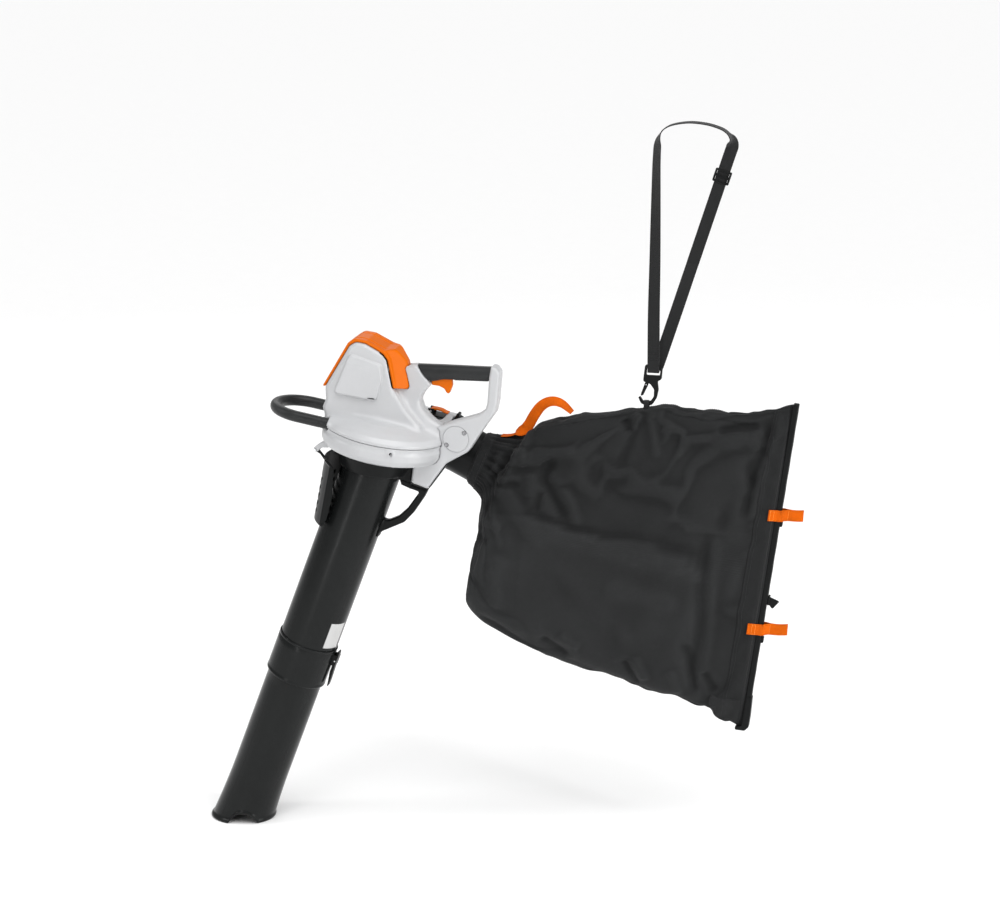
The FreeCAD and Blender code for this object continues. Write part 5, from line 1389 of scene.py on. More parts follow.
NEAR = [([(138, -122), (136, -143), (130, -169), (132, -200)], 2.6, 7, "ridge"), ([(70, -229), (92, -232), (107, -228), (130, -229)], 2.4, 6, "step"),
        ([(84, -196), (54, -232)], -2.6, 7, "ridge"), ([(100, -176), (84, -210)], -3.0, 7, "ridge"), ([(112, -160), (100, -200)], 2.2, 6, "ridge"),
        ([(64, -170), (50, -215)], -2.0, 7, "ridge"), ([(78, -168), (70, -215)], 2.2, 6, "ridge"), ([(136, -124), (115, -162), (84, -216), (58, -266)], 3.2, 9, "step"),
        ([(203, -170), (180, -200), (177, -222), (194, -250), (229, -303)], -5.0, 12, "ridge"), ([(214, -232), (236, -272), (250, -320)], 3.0, 12, "ridge"),
        ([(171, -242), (158, -290)], -3.2, 9, "ridge"), ([(150, -205), (146, -262)], 2.6, 10, "ridge"),
        ([(104, -300), (145, -301), (213, -319), (298, -338), (381, -349), (430, -360), (482, -380), (540, -392)], 4.6, 4.6, "ledge", 0.16),
        ([(470, -376), (520, -412)], -1.7, 8, "ridge"), ([(470, -396), (512, -428)], 1.6, 8, "ridge"),
        ([(534, -300), (524, -370), (517, -425), (514, -525), (500, -629), (507, -690)], 2.6, 11, "step", 0.24),
        ([(164, -566), (229, -616)], -4.0, 12, "ridge"), ([(205, -560), (252, -590)], 2.4, 12, "ridge"), ([(344, -606), (373, -678)], -4.2, 9, "ridge"), ([(366, -600), (392, -660)], 3.0, 10, "ridge"),
        ([(470, -556), (484, -610), (494, -690)], -4.0, 10, "ridge"), ([(510, -628), (537, -680)], -3.6, 10, "ridge"), ([(440, -628), (462, -690)], 2.6, 11, "ridge"),
        ([(530, -108), (575, -99), (622, -95)], -3.6, 8, "ridge"), ([(520, -128), (580, -116), (634, -104)], 2.4, 9, "ridge"), ([(656, -78), (632, -146), (613, -215), (596, -300)], 3.0, 8, "step", 0.14),
        ([(612, -150), (600, -190), (612, -236)], -3.4, 10, "ridge", 0.4), ([(335, -90), (350, -112)], -3.6, 9, "ridge"), ([(372, -78), (355, -112)], 3.2, 8, "ridge"),
        ([(386, -78), (402, -120), (410, -170)], 2.6, 9, "ridge"), ([(366, -84), (352, -140), (330, -190)], -2.4, 11, "ridge"), ([(395, -82), (424, -104)], -2.4, 9, "ridge"),
        ([(90, -380), (70, -450), (78, -520)], 3.0, 22, "ridge"), ([(300, -440), (420, -470), (470, -480)], 2.2, 26, "ridge"), ([(235, -190), (330, -228), (440, -240)], -1.9, 26, "ridge", 0.45),
        ([(330, -500), (366, -600)], 1.8, 20, "ridge", 0.5), ([(190, -400), (250, -520)], -1.8, 26, "ridge", 0.5), ([(566, -236), (536, -350)], -1.8, 14, "ridge", 0.5), ([(590, -360), (556, -490)], 1.8, 13, "ridge", 0.5),
        ([(20, -352), (60, -362)], -2.4, 10, "ridge"), ([(40, -318), (90, -326)], 2.4, 10, "ridge")]
FAR = [([(104, -302), (213, -322), (298, -339), (430, -366), (540, -392)], 4.6, 4.6, "ledge", 0.16), ([(134, -124), (112, -164), (84, -216), (58, -266)], 3.2, 9, "step"),
       ([(220, -150), (214, -230), (250, -300)], -4.4, 13, "ridge"), ([(250, -150), (262, -240)], 3.0, 14, "ridge"), ([(372, -82), (356, -150), (330, -210)], 3.2, 10, "ridge"),
       ([(388, -80), (420, -140), (450, -180)], 3.0, 10, "ridge"), ([(400, -150), (430, -260)], -2.8, 16, "ridge"), ([(560, -104), (624, -96)], -3.4, 9, "ridge"),
       ([(640, -110), (612, -220), (580, -340)], 3.0, 9, "step"), ([(180, -380), (240, -470)], -3.4, 20, "ridge"), ([(330, -420), (420, -500)], 3.0, 20, "ridge"),
       ([(130, -540), (220, -600)], -3.6, 12, "ridge"), ([(330, -590), (372, -668)], -3.8, 10, "ridge"), ([(470, -560), (498, -690)], -3.6, 11, "ridge"), ([(92, -176), (70, -226)], -2.8, 7, "ridge"),
       ([(112, -164), (96, -214)], 2.4, 7, "ridge"), ([(528, -330), (515, -440), (512, -560), (500, -680)], 2.8, 11, "step", 0.1), ([(60, -420), (90, -480)], 3.0, 18, "ridge"), ([(500, -230), (470, -330)], -2.6, 15, "ridge")]
SEAM_N = [k for k, f in enumerate(NEAR) if f[3] == "ledge"][0]
Nn = normals(P)
X, Z = P[..., 0], P[..., 2]
face = np.clip(-(P[..., 1] - BAG_Y) / 14.0, -1, 1)
dsp = np.zeros(X.shape)
for f in NEAR:
    dsp += fold(X, Z, *f) * np.clip(face, 0, 1)
for f in FAR:
    dsp += fold(X, Z, *f) * np.clip(-face, 0, 1)
# gathers round the neck, where an elastic hem draws the cloth in
gth = np.zeros(X.shape)
ph = 3.1 * np.sin(2 * t_all + 0.5) + 1.7 * np.sin(5 * t_all)
for i in range(NU):
    u = i / (NU - 1)
    k = np.clip((u - 0.012) / 0.03, 0, 1) * np.clip((0.17 - u) / 0.10, 0, 1)
    gth[i] = k * (2.0 * np.sin(17 * t_all + ph + 30 * u) + 1.0 * np.sin(31 * t_all - ph + 25 * u))
dsp += gth
# small ripples beside the top and bottom seams
seam_top = np.exp(-(np.minimum(t_all, 2 * math.pi - t_all) / 0.13) ** 2)
seam_bot = np.exp(-((t_all - math.pi) / 0.13) ** 2)
s_len = np.cumsum(np.linalg.norm(np.diff(B0[:, 0], axis=0, prepend=B0[:1, 0]), axis=1))
s_lenb = np.cumsum(np.linalg.norm(np.diff(B0[:, NV // 2], axis=0, prepend=B0[:1, NV // 2]), axis=1))
rip = np.sin(s_len / 6.1 + 1.5 * np.sin(s_len / 31)) * 0.8 + np.sin(s_len / 15.3) * 1.0
ripb = np.sin(s_lenb / 7.0 + 1.7 * np.sin(s_lenb / 37)) * 0.9 + np.sin(s_lenb / 17.7) * 1.6 + np.sin(s_lenb / 41.0 + 1.0) * 1.6
mid = np.clip(np.minimum(uu[:, 0] / 0.12, (1 - uu[:, 0]) / 0.04), 0, 1)
dsp += (rip * mid)[:, None] * seam_top[None] * 1.0 + (ripb * mid)[:, None] * seam_bot[None] * 1.0
# long soft unevenness
dsp += 1.3 * np.sin(X / 47 + Z / 61 + 2 * np.sin(Z / 90)) * np.clip(uu * 6 - 0.8, 0, 1) * np.clip((1 - uu) * 8, 0, 1)
dsp += 0.8 * np.sin(X / 23 - Z / 31 + 2.4 * np.sin(X / 70)) * np.clip(uu * 6 - 0.8, 0, 1) * np.clip((1 - uu) * 8, 0, 1)
lim = np.clip((1 - uu) / 0.03, 0, 1)
P = P + Nn * (dsp * lim)[..., None]
# the duct and the rail hold the two ends
pinw = np.clip(uu / 0.012, 0, 1) * np.clip((1 - uu) / 0.012, 0, 1)
P = B0 + (P - B0) * pinw[..., None]
# sewn seams: the two panels meet in a narrow turned ridge along the top and the foot
ridge = np.exp(-(np.minimum(t_all, 2 * math.pi - t_all) / 0.016) ** 2) + np.exp(-((t_all - math.pi) / 0.016) ** 2)
groove = -0.6 * (np.exp(-((np.minimum(t_all, 2 * math.pi - t_all) - 0.055) / 0.018) ** 2) + np.exp(-((np.abs(t_all - math.pi) - 0.055) / 0.018) ** 2))
P = P + normals(P) * ((ridge * 1.6 + groove * 0.8)[None] * np.clip((uu - 0.02) * 40, 0, 1) * np.clip((1 - uu) / 0.02, 0, 1))[..., None]
BN = normals(P)
BP = P
U = np.zeros((NU, NV, 2))
U[..., 0] = np.linspace(0, 0.85, NU)[:, None]
U[..., 1] = (np.arange(NV) / NV * 1.15)[None]
V, Q = grid_mesh(BP, False, True)
wedge = Q[np.arange(len(Q))]
bag = mk("bag_shell", V * MM, Q, M_FABS, uv=U.reshape(-1, 2))
# the last column of quads wraps round: give it its own UVs so that the weave does not smear there
lay = bag.data.uv_layers[0]
li = np.zeros(len(bag.data.loops), np.int32)
bag.data.loops.foreach_get("vertex_index", li)
uvs = U.reshape(-1, 2)[li].copy()
q4 = uvs.reshape(-1, 4, 2)
wrap = (q4[:, :, 1].max(1) - q4[:, :, 1].min(1)) > 0.5
q4[wrap, :, 1] = np.where(q4[wrap, :, 1] < 0.5, q4[wrap, :, 1] + 1.15, q4[wrap, :, 1])
lay.data.foreach_set("uv", q4.reshape(-1).astype(np.float32))
bag.data.update()
# painted light: the panel below the diagonal seam is painted lighter, more at the left and fading to the right
xh = np.interp(BP[..., 2], [-690, -525, -425, -300], [507, 514, 517, 534])
low = np.zeros(X.shape)
for pts, side in ((NEAR[SEAM_N][0], 1.0), (FAR[0][0], -1.0)):
    pd, ps, pa = poly_dist(BP[..., 0], BP[..., 2], [(20, -292)] + list(pts))
    g = -pd * ps
    low = np.maximum(low, 0.5 * (1 + np.tanh(g / 2.2)) * 0.5 * (1 + np.tanh((xh - BP[..., 0]) / 3.0)) * np.clip(face * side * 3, 0, 1))
# painted highlight and shade: ridges are painted paler and hollows darker, so that the creases read more strongly; the
# cloth is also darker towards the neck
sm = BP.copy()
for _ in range(9):
    sm[1:-1] = 0.25 * sm[:-2] + 0.5 * sm[1:-1] + 0.25 * sm[2:]
    sm = 0.25 * np.roll(sm, 1, 1) + 0.5 * sm + 0.25 * np.roll(sm, -1, 1)
cav = ((BP - sm) * BN).sum(2) * np.clip(uu * 20 - 0.4, 0, 1) * np.clip((1 - uu) * 20 - 0.4, 0, 1)
# painted light: lighter lower panel, painted highlights on ridges and painted shade in hollows, and darker towards the
# neck
painted_light_tone = 0.37 + np.interp(BP[..., 0], [100, 330], [0.21, 0.11]) * low + 0.10 * np.clip(cav / 0.9, -1.3, 1) - 0.14 * np.clip((0.20 - uu) / 0.06, 0, 1)
ta = bag.data.attributes.new("cloth_painted_light", "FLOAT", "POINT")
ta.data.foreach_set("value", np.clip(painted_light_tone, 0, 1).reshape(-1).astype(np.float32))
# outward faces
me = bag.data
c = np.array(me.polygons[NV * 60 + 10].center)
nn = np.array(me.polygons[NV * 60 + 10].normal)
if (nn @ (BN[60, 10])) < 0:
    me.flip_normals()
sd = bag.modifiers.new("Solidify", "SOLIDIFY")
sd.thickness = 0.0011
sd.offset = -1.0
bag.data.materials.append(M_FABD)
sd.material_offset = 1
sd.material_offset_rim = 0
place(bag, "collector", ["bag_near_panel", "bag_far_panel"])


def bag_at(u, t):
    """Point and outward normal on the finished bag. u in 0..1, t the angle."""
    x = min(max(u, 0), 1) * (NU - 1)
    i = min(int(x), NU - 2)
    f = x - i
    y = (t / (2 * math.pi) * NV) % NV
    j = int(y) % NV
    g = y - int(y)
    j2 = (j + 1) % NV
    p = (BP[i, j] * (1 - g) + BP[i, j2] * g) * (1 - f) + (BP[i + 1, j] * (1 - g) + BP[i + 1, j2] * g) * f
    n = (BN[i, j] * (1 - g) + BN[i, j2] * g) * (1 - f) + (BN[i + 1, j] * (1 - g) + BN[i + 1, j2] * g) * f
    return p, n / np.linalg.norm(n)


def uv_line(fn, n):
    out = [bag_at(*fn(k / (n - 1))) for k in range(n)]
    return np.array([o[0] for o in out]), np.array([o[1] for o in out])


def sew(b, fn, step=4.2, length=2.9, lift=0.28, r=0.34, n=400):
    Pl, Nl = uv_line(fn, n)
    s = np.concatenate([[0], np.cumsum(np.linalg.norm(np.diff(Pl, axis=0), axis=1))])
    m = max(2, int(s[-1] / step))
    for k in range(m):
        q = (k + 0.5) / m * s[-1]
        p = np.array([np.interp(q, s, Pl[:, c]) for c in range(3)])
        p2 = np.array([np.interp(min(q + 1, s[-1]), s, Pl[:, c]) for c in range(3)])
        nrm = np.array([np.interp(q, s, Nl[:, c]) for c in range(3)])
        t = p2 - p
        if np.linalg.norm(t) < 1e-6:
            continue
        stitch(b, p + nrm * lift, t / np.linalg.norm(t), nrm / np.linalg.norm(nrm), length, r)


def band(name, us, t0, t1, n, rise, mat, m=9):
    """A strip of cloth sewn on the bag between two stations, along t."""
    P, F, UVs = [], [], []
    for k in range(n):
        t = t0 + (t1 - t0) * k / (n - 1)
        for e in range(m):
            u = us[0] + (us[1] - us[0]) * e / (m - 1)
            p, nr = bag_at(u, t)
            h = rise * (0.15 if e in (0, m - 1) else 1.0)
            P.append(p + nr * h)
            UVs.append((e / (m - 1) * abs(us[1] - us[0]) * 0.8, k / n * 1.1))
    I, J = np.meshgrid(np.arange(n - 1), np.arange(m - 1), indexing="ij")
    Q = np.stack([I * m + J, I * m + J + 1, (I + 1) * m + J + 1, (I + 1) * m + J], -1).reshape(-1, 4)
    o = mk(name, np.array(P) * MM, Q, mat, uv=np.array(UVs))
    c, nr = np.array(o.data.polygons[len(Q) // 2].normal), bag_at(us[0], t0 + (t1 - t0) / 2)[1]
    if c @ nr < 0:
        o.data.flip_normals()
    s = o.modifiers.new("Solidify", "SOLIDIFY")
    s.thickness, s.offset = 0.0009, -1.0
    return place(o, "collector")


TAU = 2 * math.pi
# elastic cuff at the neck, closing hem along the rear edge
band("neck_cuff", (0.0015, 0.030), 0, TAU * 0.9999, 200, 0.75, M_FAB)
bs = Batch()
for u in (0.0065, 0.0255):
    sew(bs, lambda k, u=u: (u, k * TAU), 4.0, 2.8, 1.05)
# two rows beside each long seam and two beside the hem on each side
for t in (0.085, TAU - 0.085, math.pi - 0.085, math.pi + 0.085):
    sew(bs, lambda k, t=t: (0.045 + 0.945 * k, t), 4.4)
for side in (1, -1):
    for u in (0.945, 0.9535):
        sew(bs, lambda k, u=u, side=side: (u, (0.10 + (math.pi - 0.2) * k) * side % TAU), 4.4, 2.9, 0.9)
place(bs.make("bag_stitching", RR, M_THREAD), "collector")
for nm, side in (("hem_band_near", -1), ("hem_band_far", 1)):
    a, b_ = (0.05, math.pi - 0.05) if side > 0 else (TAU - 0.05, math.pi + 0.05)
    band(nm, (0.940, 0.992), a, b_, 150, 0.62, M_FAB, 14)


def patch(name, side):
    """Reinforcing patch in the lower rear corner."""
    n, m = 30, 30
    P, U_ = [], []
    for i in range(n):
        for j in range(m):
            a, b = i / (n - 1), j / (m - 1)
            u = 0.905 + 0.083 * a
            t = math.pi - (0.045 + (0.62 - 0.10 * (1 - a)) * b)
            p, nr = bag_at(u, t if side > 0 else TAU - t)
            e = min(i, j, n - 1 - i, m - 1 - j)
            P.append(p + nr * (0.85 if e > 0 else 0.15))
            U_.append((a * 0.09, b * 0.09))
    I, J = np.meshgrid(np.arange(n - 1), np.arange(m - 1), indexing="ij")
    Q = np.stack([I * m + J, I * m + J + 1, (I + 1) * m + J + 1, (I + 1) * m + J], -1).reshape(-1, 4)
    o = mk(name, np.array(P) * MM, Q, M_FABP, uv=np.array(U_))
    if np.array(o.data.polygons[len(Q) // 2].normal) @ bag_at(0.94, (math.pi - 0.3) if side > 0 else math.pi + 0.3)[1] < 0:
        o.data.flip_normals()
    s = o.modifiers.new("Solidify", "SOLIDIFY")
    s.thickness, s.offset = 0.0008, -1.0
    place(o, "collector")
    b = Batch()
    for off in (0.010, 0.022):
        sew(b, lambda k: (0.906 + 0.081 * k, (math.pi - (0.045 + (0.62 - off * 1.6 - 0.10 * (1 - k)))) if side > 0 else math.pi + (0.045 + (0.62 - off * 1.6 - 0.10 * (1 - k)))), 4.2, 2.8, 1.15, 0.34, 80)
    sew(b, lambda k: (0.9085, (math.pi - (0.05 + 0.5 * k)) if side > 0 else math.pi + (0.05 + 0.5 * k)), 4.2, 2.8, 1.15, 0.34, 80)
    place(b.make(name + "_stitching", RR, M_THREAD), "collector")


M_FABP = fabric("bag_patch", (0.0155, 0.0159, 0.0162), rough=0.72, sheen=0.05, weave=0.55)
patch("corner_patch_near", -1)
patch("corner_patch_far", 1)


# ---------------- closing rail, zip, tabs ----------------
def rail_fn(x, y, z):
    f = sdbox(x, y, z, (0.7, 9.6, -8.2, 8.2, 0.2, RLEN - 0.2), 2.6)
    f = np.maximum(f, -sdbox(x, y, z, (6.2, 14, -2.0, 2.0, -20, RLEN + 20), 0.4))
    return f


# the rail is straight, so its section is carried along
sec = rpoly([(-2.4, -8.2), (9.6, -8.2), (9.6, -2.0), (6.0, -2.0), (6.0, 2.0), (9.6, 2.0), (9.6, 8.2), (-2.4, 8.2)], [2.4, 2.8, 0.5, 0.5, 0.5, 0.5, 2.8, 2.4], 4)
zs = [0.0, 0.5, 2.0, 6.0] + list(np.linspace(12, RLEN - 12, 150)) + [RLEN - 6.0, RLEN - 2.0, RLEN - 0.5, RLEN]
P = np.zeros((len(zs), len(sec), 3))
cx, cy = 5.1, 0.0
for k, zz in enumerate(zs):
    e = min(zz, RLEN - zz)
    sc = 0.80 if e < 0.1 else (0.90 if e < 1 else (0.975 if e < 4 else 1.0))
    wv = 0.18 * math.sin(zz / 9.0) if e > 5 else 0
    for j, (a, b) in enumerate(sec):
        P[k, j] = (cx + (a - cx) * sc + (wv if a > 8 else 0), cy + (b - cy) * sc, zz)
V, Q = grid_mesh(P, False, True)
m = len(sec)
fc = [list(q) for q in Q] + [list(range(m))[::-1], list(range((len(zs) - 1) * m, len(zs) * m))]
ro = mk("closing_rail", to_row(RP, V), fc, M_BLACK)
bmv = np.array(ro.data.polygons[len(Q) // 2].normal)
place(ro, "collector", ["bag_rail"])
# coil teeth of the zip in the rail's channel
b = Batch()
for k in range(int((RLEN - 24) / 3.0)):
    zz = 12 + 3.0 * k
    V, F = tube_mesh(np.array([(6.5, -1.5, zz), (7.5, -0.8, zz + 0.3), (7.9, 0, zz + 0.75), (7.5, 0.8, zz + 1.2), (6.5, 1.5, zz + 1.5)]), 0.45, 6)
    b.add(V, F)
place(b.make("zip_teeth", RP, M_BLACK), "collector")
ZS = 290.0


def zip_fn(x, y, z):
    f = sdbox(x, y, z, (8.6, 12.4, -1.6, 1.6, ZS - 9, ZS + 9), 0.8)
    f = smin(f, sdbox(x, y, z, (10.2, 14.0, -5.5, 5.5, ZS - 11, ZS + 11), 1.6), 1.0)
    pl = ext(sdpoly(x, z, rpoly([(13.0, ZS + 7), (35, ZS + 1), (22, ZS - 19), (13.0, ZS - 10)], [1, 2.5, 3, 1])), np.abs(y - 1.2) - 1.2, 0.7)
    return smin(f, pl, 1.0)


sdf_piece("zip_runner", zip_fn, (8, -6, ZS - 20), (36, 6, ZS + 12), 0.55, RP, M_BLACK, "zip_slider", ["zip_slider"])


def make_tab(zc, name, node, left=0.0, right=0.0):
    """Folded webbing round the closing edge, its doubled end standing out behind."""
    line = [(-15.6, 18.6), (-8, 14.6), (1.8, 10.4), (11.6, 9.4), (19, 5.4), (26, 2.2), (38, 1.45), (50, 1.25), (53.6, 1.0), (54.6, 0.0), (53.6, -1.0), (50, -1.25), (38, -1.45), (26, -2.2), (19, -5.4), (11.6, -9.4), (1.8, -10.4), (-8, -14.6), (-15.6, -18.6)]
    line = [(a - left if a < -10 else (a + right if a > 37 else a), b) for a, b in line]
    c = spline([(a, b) for a, b in line], 120)
    lift = np.clip(c[:, 0] - 6.0, 0, None) * 0.16
    Pm = np.stack([c[:, 0], c[:, 1], zc + lift + 0.7 * np.sin(c[:, 0] / 9.0) * (c[:, 0] > 12)], 1)
    W = np.tile(np.array([0.0, 0, 1.0]), (len(c), 1))
    o = ribbon(name, Pm, W, 24.2, 1.5, M_WEBO)
    V = np.array([v.co for v in o.data.vertices]) / MM
    o.data.vertices.foreach_set("co", to_row(RP, V).astype(np.float32).ravel())
    o.data.update()
    place(o, "collector", [node])
    b = Batch()
    for sgn in (-1, 1):
        for dz in np.arange(-9.5, 9.6, 2.6):
            for xx in (-12.2, -5.2):
                yy = np.interp(xx, [-15.6, -8, 1.8], [18.6, 14.6, 10.4]) + 0.95
                stitch(b, (xx, sgn * yy, zc + dz), (0, 0, 1), (0.35, sgn * 0.93, 0), 2.0, 0.30)
            stitch(b, (24.0, sgn * 3.95, zc + dz + 2.9), (0, 0, 1), (0, sgn, 0), 2.0, 0.30)
        for xx in np.arange(-11.5, -5, 2.6):
            for dz in (-10.2, 10.2):
                yy = np.interp(xx, [-15.6, -8, 1.8], [18.6, 14.6, 10.4]) + 0.95
                stitch(b, (xx, sgn * yy, zc + dz), (0.9, -sgn * 0.44, 0), (0.35, sgn * 0.93, 0), 2.0, 0.30)
    place(b.make(name + "_stitching", RP, M_THREADO), "collector")


make_tab(477.0, "edge_tab_top", "edge_tab_upper")
make_tab(224.5, "edge_tab_foot", "edge_tab_lower", 6.0, 6.0)
# moulded keepers under the tabs and a boot over the rail's foot
sdf_piece("tab_keeper_upper", lambda x, y, z: sdbox(x, y, z, (4.5, 15.0, -6.6, 6.6, 453.2, 464.0), 2.0), (4, -7, 452), (16, 7, 465), 0.7, RP, M_BLACK, "collector")
sdf_piece("tab_keeper_lower", lambda x, y, z: sdbox(x, y, z, (4.5, 15.0, -6.6, 6.6, 195.0, 208.5), 2.0), (4, -7, 194), (16, 7, 210), 0.7, RP, M_BLACK, "collector")


def boot_fn(x, y, z):
    f = ext(sdpoly(x, z, rpoly([(-1.5, 74), (11.5, 74), (13.5, 30), (13.5, 4), (6, -5.0), (-14, -6.5), (-16, 0), (-2, 8)], [2, 2, 12, 6, 5, 3, 3, 6])), np.abs(y) - 10.2, 3.0)
    return np.maximum(f, -sdbox(x, y, z, (-30, 10.2, -8.8, 8.8, 2.2, 90), 1.0))


sdf_piece("rail_boot", boot_fn, (-17, -11, -8), (15, 11, 76), 0.9, RP, M_BLACK, "collector")

# ---------------- grab loop on the neck ----------------
GL = [(100, -139.5), (110.6, -136.1), (121, -130.5), (129.5, -119.6), (138.5, -102.6), (152, -83), (168, -71.5), (185, -69.0), (202, -75.0), (221, -90.5)]
c = spline(GL, 110)
sg = np.linspace(0, 1, len(c))
Pm = np.stack([c[:, 0], 72.0 + 5.0 * sg + 3.0 * np.sin(math.pi * sg), c[:, 1]], 1)
Tg = frames_along(Pm)
ag = np.radians(np.interp(sg, [0, 0.06, 0.17, 0.45, 0.74, 1.0], [84, 44, 8, 18, 52, 84]))
W = np.zeros((len(c), 3))
for k in range(len(c)):
    sd0 = np.cross(Tg[k], [0, 1.0, 0])
    W[k] = sd0 / np.linalg.norm(sd0) * math.cos(ag[k]) + np.array([0, 1.0, 0]) * math.sin(ag[k])
o = ribbon("grab_strap", Pm, W, 24.0, 1.9, M_WEBO)
place(o, "collector", ["grab_loop"])
b = Batch()
for y in np.arange(-8, 8.1, 2.6):
    for q in (1, 3):
        stitch(b, Pm[q] + W[q] * y - np.cross(Tg[q], W[q]) * 1.0, W[q], -np.cross(Tg[q], W[q]), 2.0, 0.3)
        stitch(b, Pm[-1 - q] + W[-1 - q] * y - np.cross(Tg[-1 - q], W[-1 - q]) * 1.0, W[-1 - q], -np.cross(Tg[-1 - q], W[-1 - q]), 2.0, 0.3)
place(b.make("grab_strap_stitching", RR, M_THREADO), "collector")
# the tail of the orange tape where it is caught in the neck seam
c = spline([(70, -147.6), (78, -147.6), (88, -146.4), (97, -143.8), (104, -141.4)], 30)
o = ribbon("grab_strap_tail", np.stack([c[:, 0], np.full(len(c), 74.5), c[:, 1]], 1), np.tile(np.array([0.05, 1.0, 0]), (len(c), 1)), 22, 1.5, M_WEBO)
place(o, "collector")

# hanging loop in the top seam
a = []
for k in range(50):
    t = -math.pi * 0.30 + (math.pi * 1.6) * k / 49
    a.append((math.cos(t) * 7.2, math.sin(t) * 8.6))
a = [(6.6, -21), (7.2, -12)] + [(7.3 * math.cos(t), -1.0 + 7.3 * math.sin(t) * 0.85) for t in np.linspace(-0.2, math.pi + 0.2, 30)] + [(-7.2, -12), (-6.6, -21)]
c = spline(a, 70)
Pm = np.stack([np.full(len(c), 379.0), 76 + c[:, 0], -60.6 + c[:, 1]], 1)
o = ribbon("hang_loop_tape", Pm, np.tile(np.array([1.0, 0, 0]), (len(c), 1)), 10.2, 1.2, M_WEB)
place(o, "collector", ["bag_hang_loop"])


# ---------------- hook ----------------
HK = [(375.0, 21.5), (412, 15.5), (410, -9), (402, -14), (404, -32), (400.5, -49), (391.5, -64), (380, -67.5), (367, -62), (361, -49), (366, -47.5), (371, -56), (380, -60.0), (388.5, -55), (394, -46), (394.5, -31), (386, -20), (371, -15)]


def hook_fn(x, y, z):
    y = y - 76
    f = ext(sdpoly(x, z, rpoly(HK, [5, 6, 5, 3, 6, 10, 10, 9, 7, 2, 1, 5, 7, 7, 7, 7, 3, 5])), np.abs(y) - 4.0, 1.7)
    f = np.maximum(f, -ext(sdpoly(x, z, rpoly([(379.5, 14.0), (407.5, 9.5), (406.2, -1.5), (378.0, -1.5)], 2)), np.abs(y) - 9, 0.2))
    f = np.maximum(f, -ext(sdpoly(x, z, [(364.0, -25.5), (372, -16.8), (388.6, -20.0), (389, -34), (364, -34)]), np.abs(y) - 2.2, 0.2))
    f = smin(f, np.maximum(sdcyl(x, y, z, (378.2, -4, -20.6), (378.2, 4, -20.6), 4.0, 0.8), -(np.abs(y) - 2.2)), 0.6)
    # recessed web down the middle of the body
    f = smax(f, -ext(sdpoly(x, z, rpoly([(389, -22), (399, -17), (400.5, -32), (397.8, -46), (396.5, -31)], 1.5)), -np.abs(y) + 3.4, 0.2), 0.4)
    return np.maximum(f, -sdcyl(x, y, z, (378, -9, -21.5), (378, 9, -21.5), 1.36, 0.05))


sdf_piece("snap_hook", hook_fn, (360, 71.5, -69), (413, 80.5, 23), 0.62, RR, M_BLACK, "strap", ["strap_hook"])
sdf_piece("snap_gate", lambda x, y, z: np.maximum(ext(sdpoly(x, z, rpoly([(374.5, -19.8), (380.5, -18.6), (381.5, -24), (371.5, -45.0), (366.2, -46.4), (367.2, -40.5)], [2, 2, 2, 1.5, 1, 1])), np.abs(y - 76) - 1.75, 0.6), -sdcyl(x, y, z, (378, 70, -21.5), (378, 82, -21.5), 1.42, 0.05)), (365, 74, -48), (383, 78, -17), 0.42, RR, M_BLACK, "hook_gate", ["hook_gate"])

# ---------------- shoulder strap ----------------
YF, YR = 76 - 5.6, 76 + 5.4
sfd = np.array([1.0, 0, 469.0])
sfd /= np.linalg.norm(sfd)
sf = [(393.0, YF + 0.0, 4.6), (393.05, YF, 40), (392.6, YF - 0.3, 130), (393.4, YF - 0.4, 230), (393.6, YF - 0.2, 330), (393.8, YF, 430), (394.1, YF + 1.0, 455), (394.5, YF + 3.0, 474), (396.0, 75.2, 491), (403.5, 76, 507.6), (412.5, 76, 515.5), (424, 76, 521), (442, 76, 525.2), (461, 76, 527.3), (480, 76, 526.6), (498, 76, 524.3), (513, 76, 520.6), (527, 76, 515.6), (536, 76, 510), (543, 76.6, 502.5), (547.6, 78.6, 494), (547.2, YR - 0.2, 480.5)]
rear = [(544.2, YR, 470.5), (540.0, YR, 457.5), (528.2, YR, 420.3), (500.5, YR, 333), (465.0, YR + 0.4, 221), (430.5, YR + 0.3, 112), (404.5, YR, 30), (398.7, YR, 11.5)]
full = spline(np.array(sf + rear, float), 620)
T = frames_along(full)
W = np.zeros_like(full)
for k, (p, t) in enumerate(zip(full, T)):
    # the runs face sideways, the band over the shoulder lies flat
    left = p[0] < 470
    z0, z1 = (474, 512) if left else (472, 508)
    f = min(1.0, max(0.0, (p[2] - z0) / (z1 - z0)))
    f = f * f * (3 - 2 * f)
    pre = min(1.0, max(0.0, (p[2] - 90) / 384.0)) if left else 0.0
    f = 0.50 * pre + (1 - 0.50 * pre) * f
    side = np.cross(t, [0, 1.0, 0])
    side /= max(np.linalg.norm(side), 1e-9)
    a = f * math.pi / 2
    W[k] = side * math.cos(a) + np.array([0, 1.0, 0]) * math.sin(a) * (1 if left else 1)
# keep the width direction from flipping
for k in range(1, len(W)):
    if W[k] @ W[k - 1] < 0:
        W[k] = -W[k]
tp = 1 - 0.05 * np.exp(-((full[:, 2] - 12) / 10) ** 2)
o = ribbon("strap_webbing", full, W, 25.4, 1.9, M_WEB, taper=tp)
place(o, "strap", ["strap_front", "strap_rear", "strap_top"])
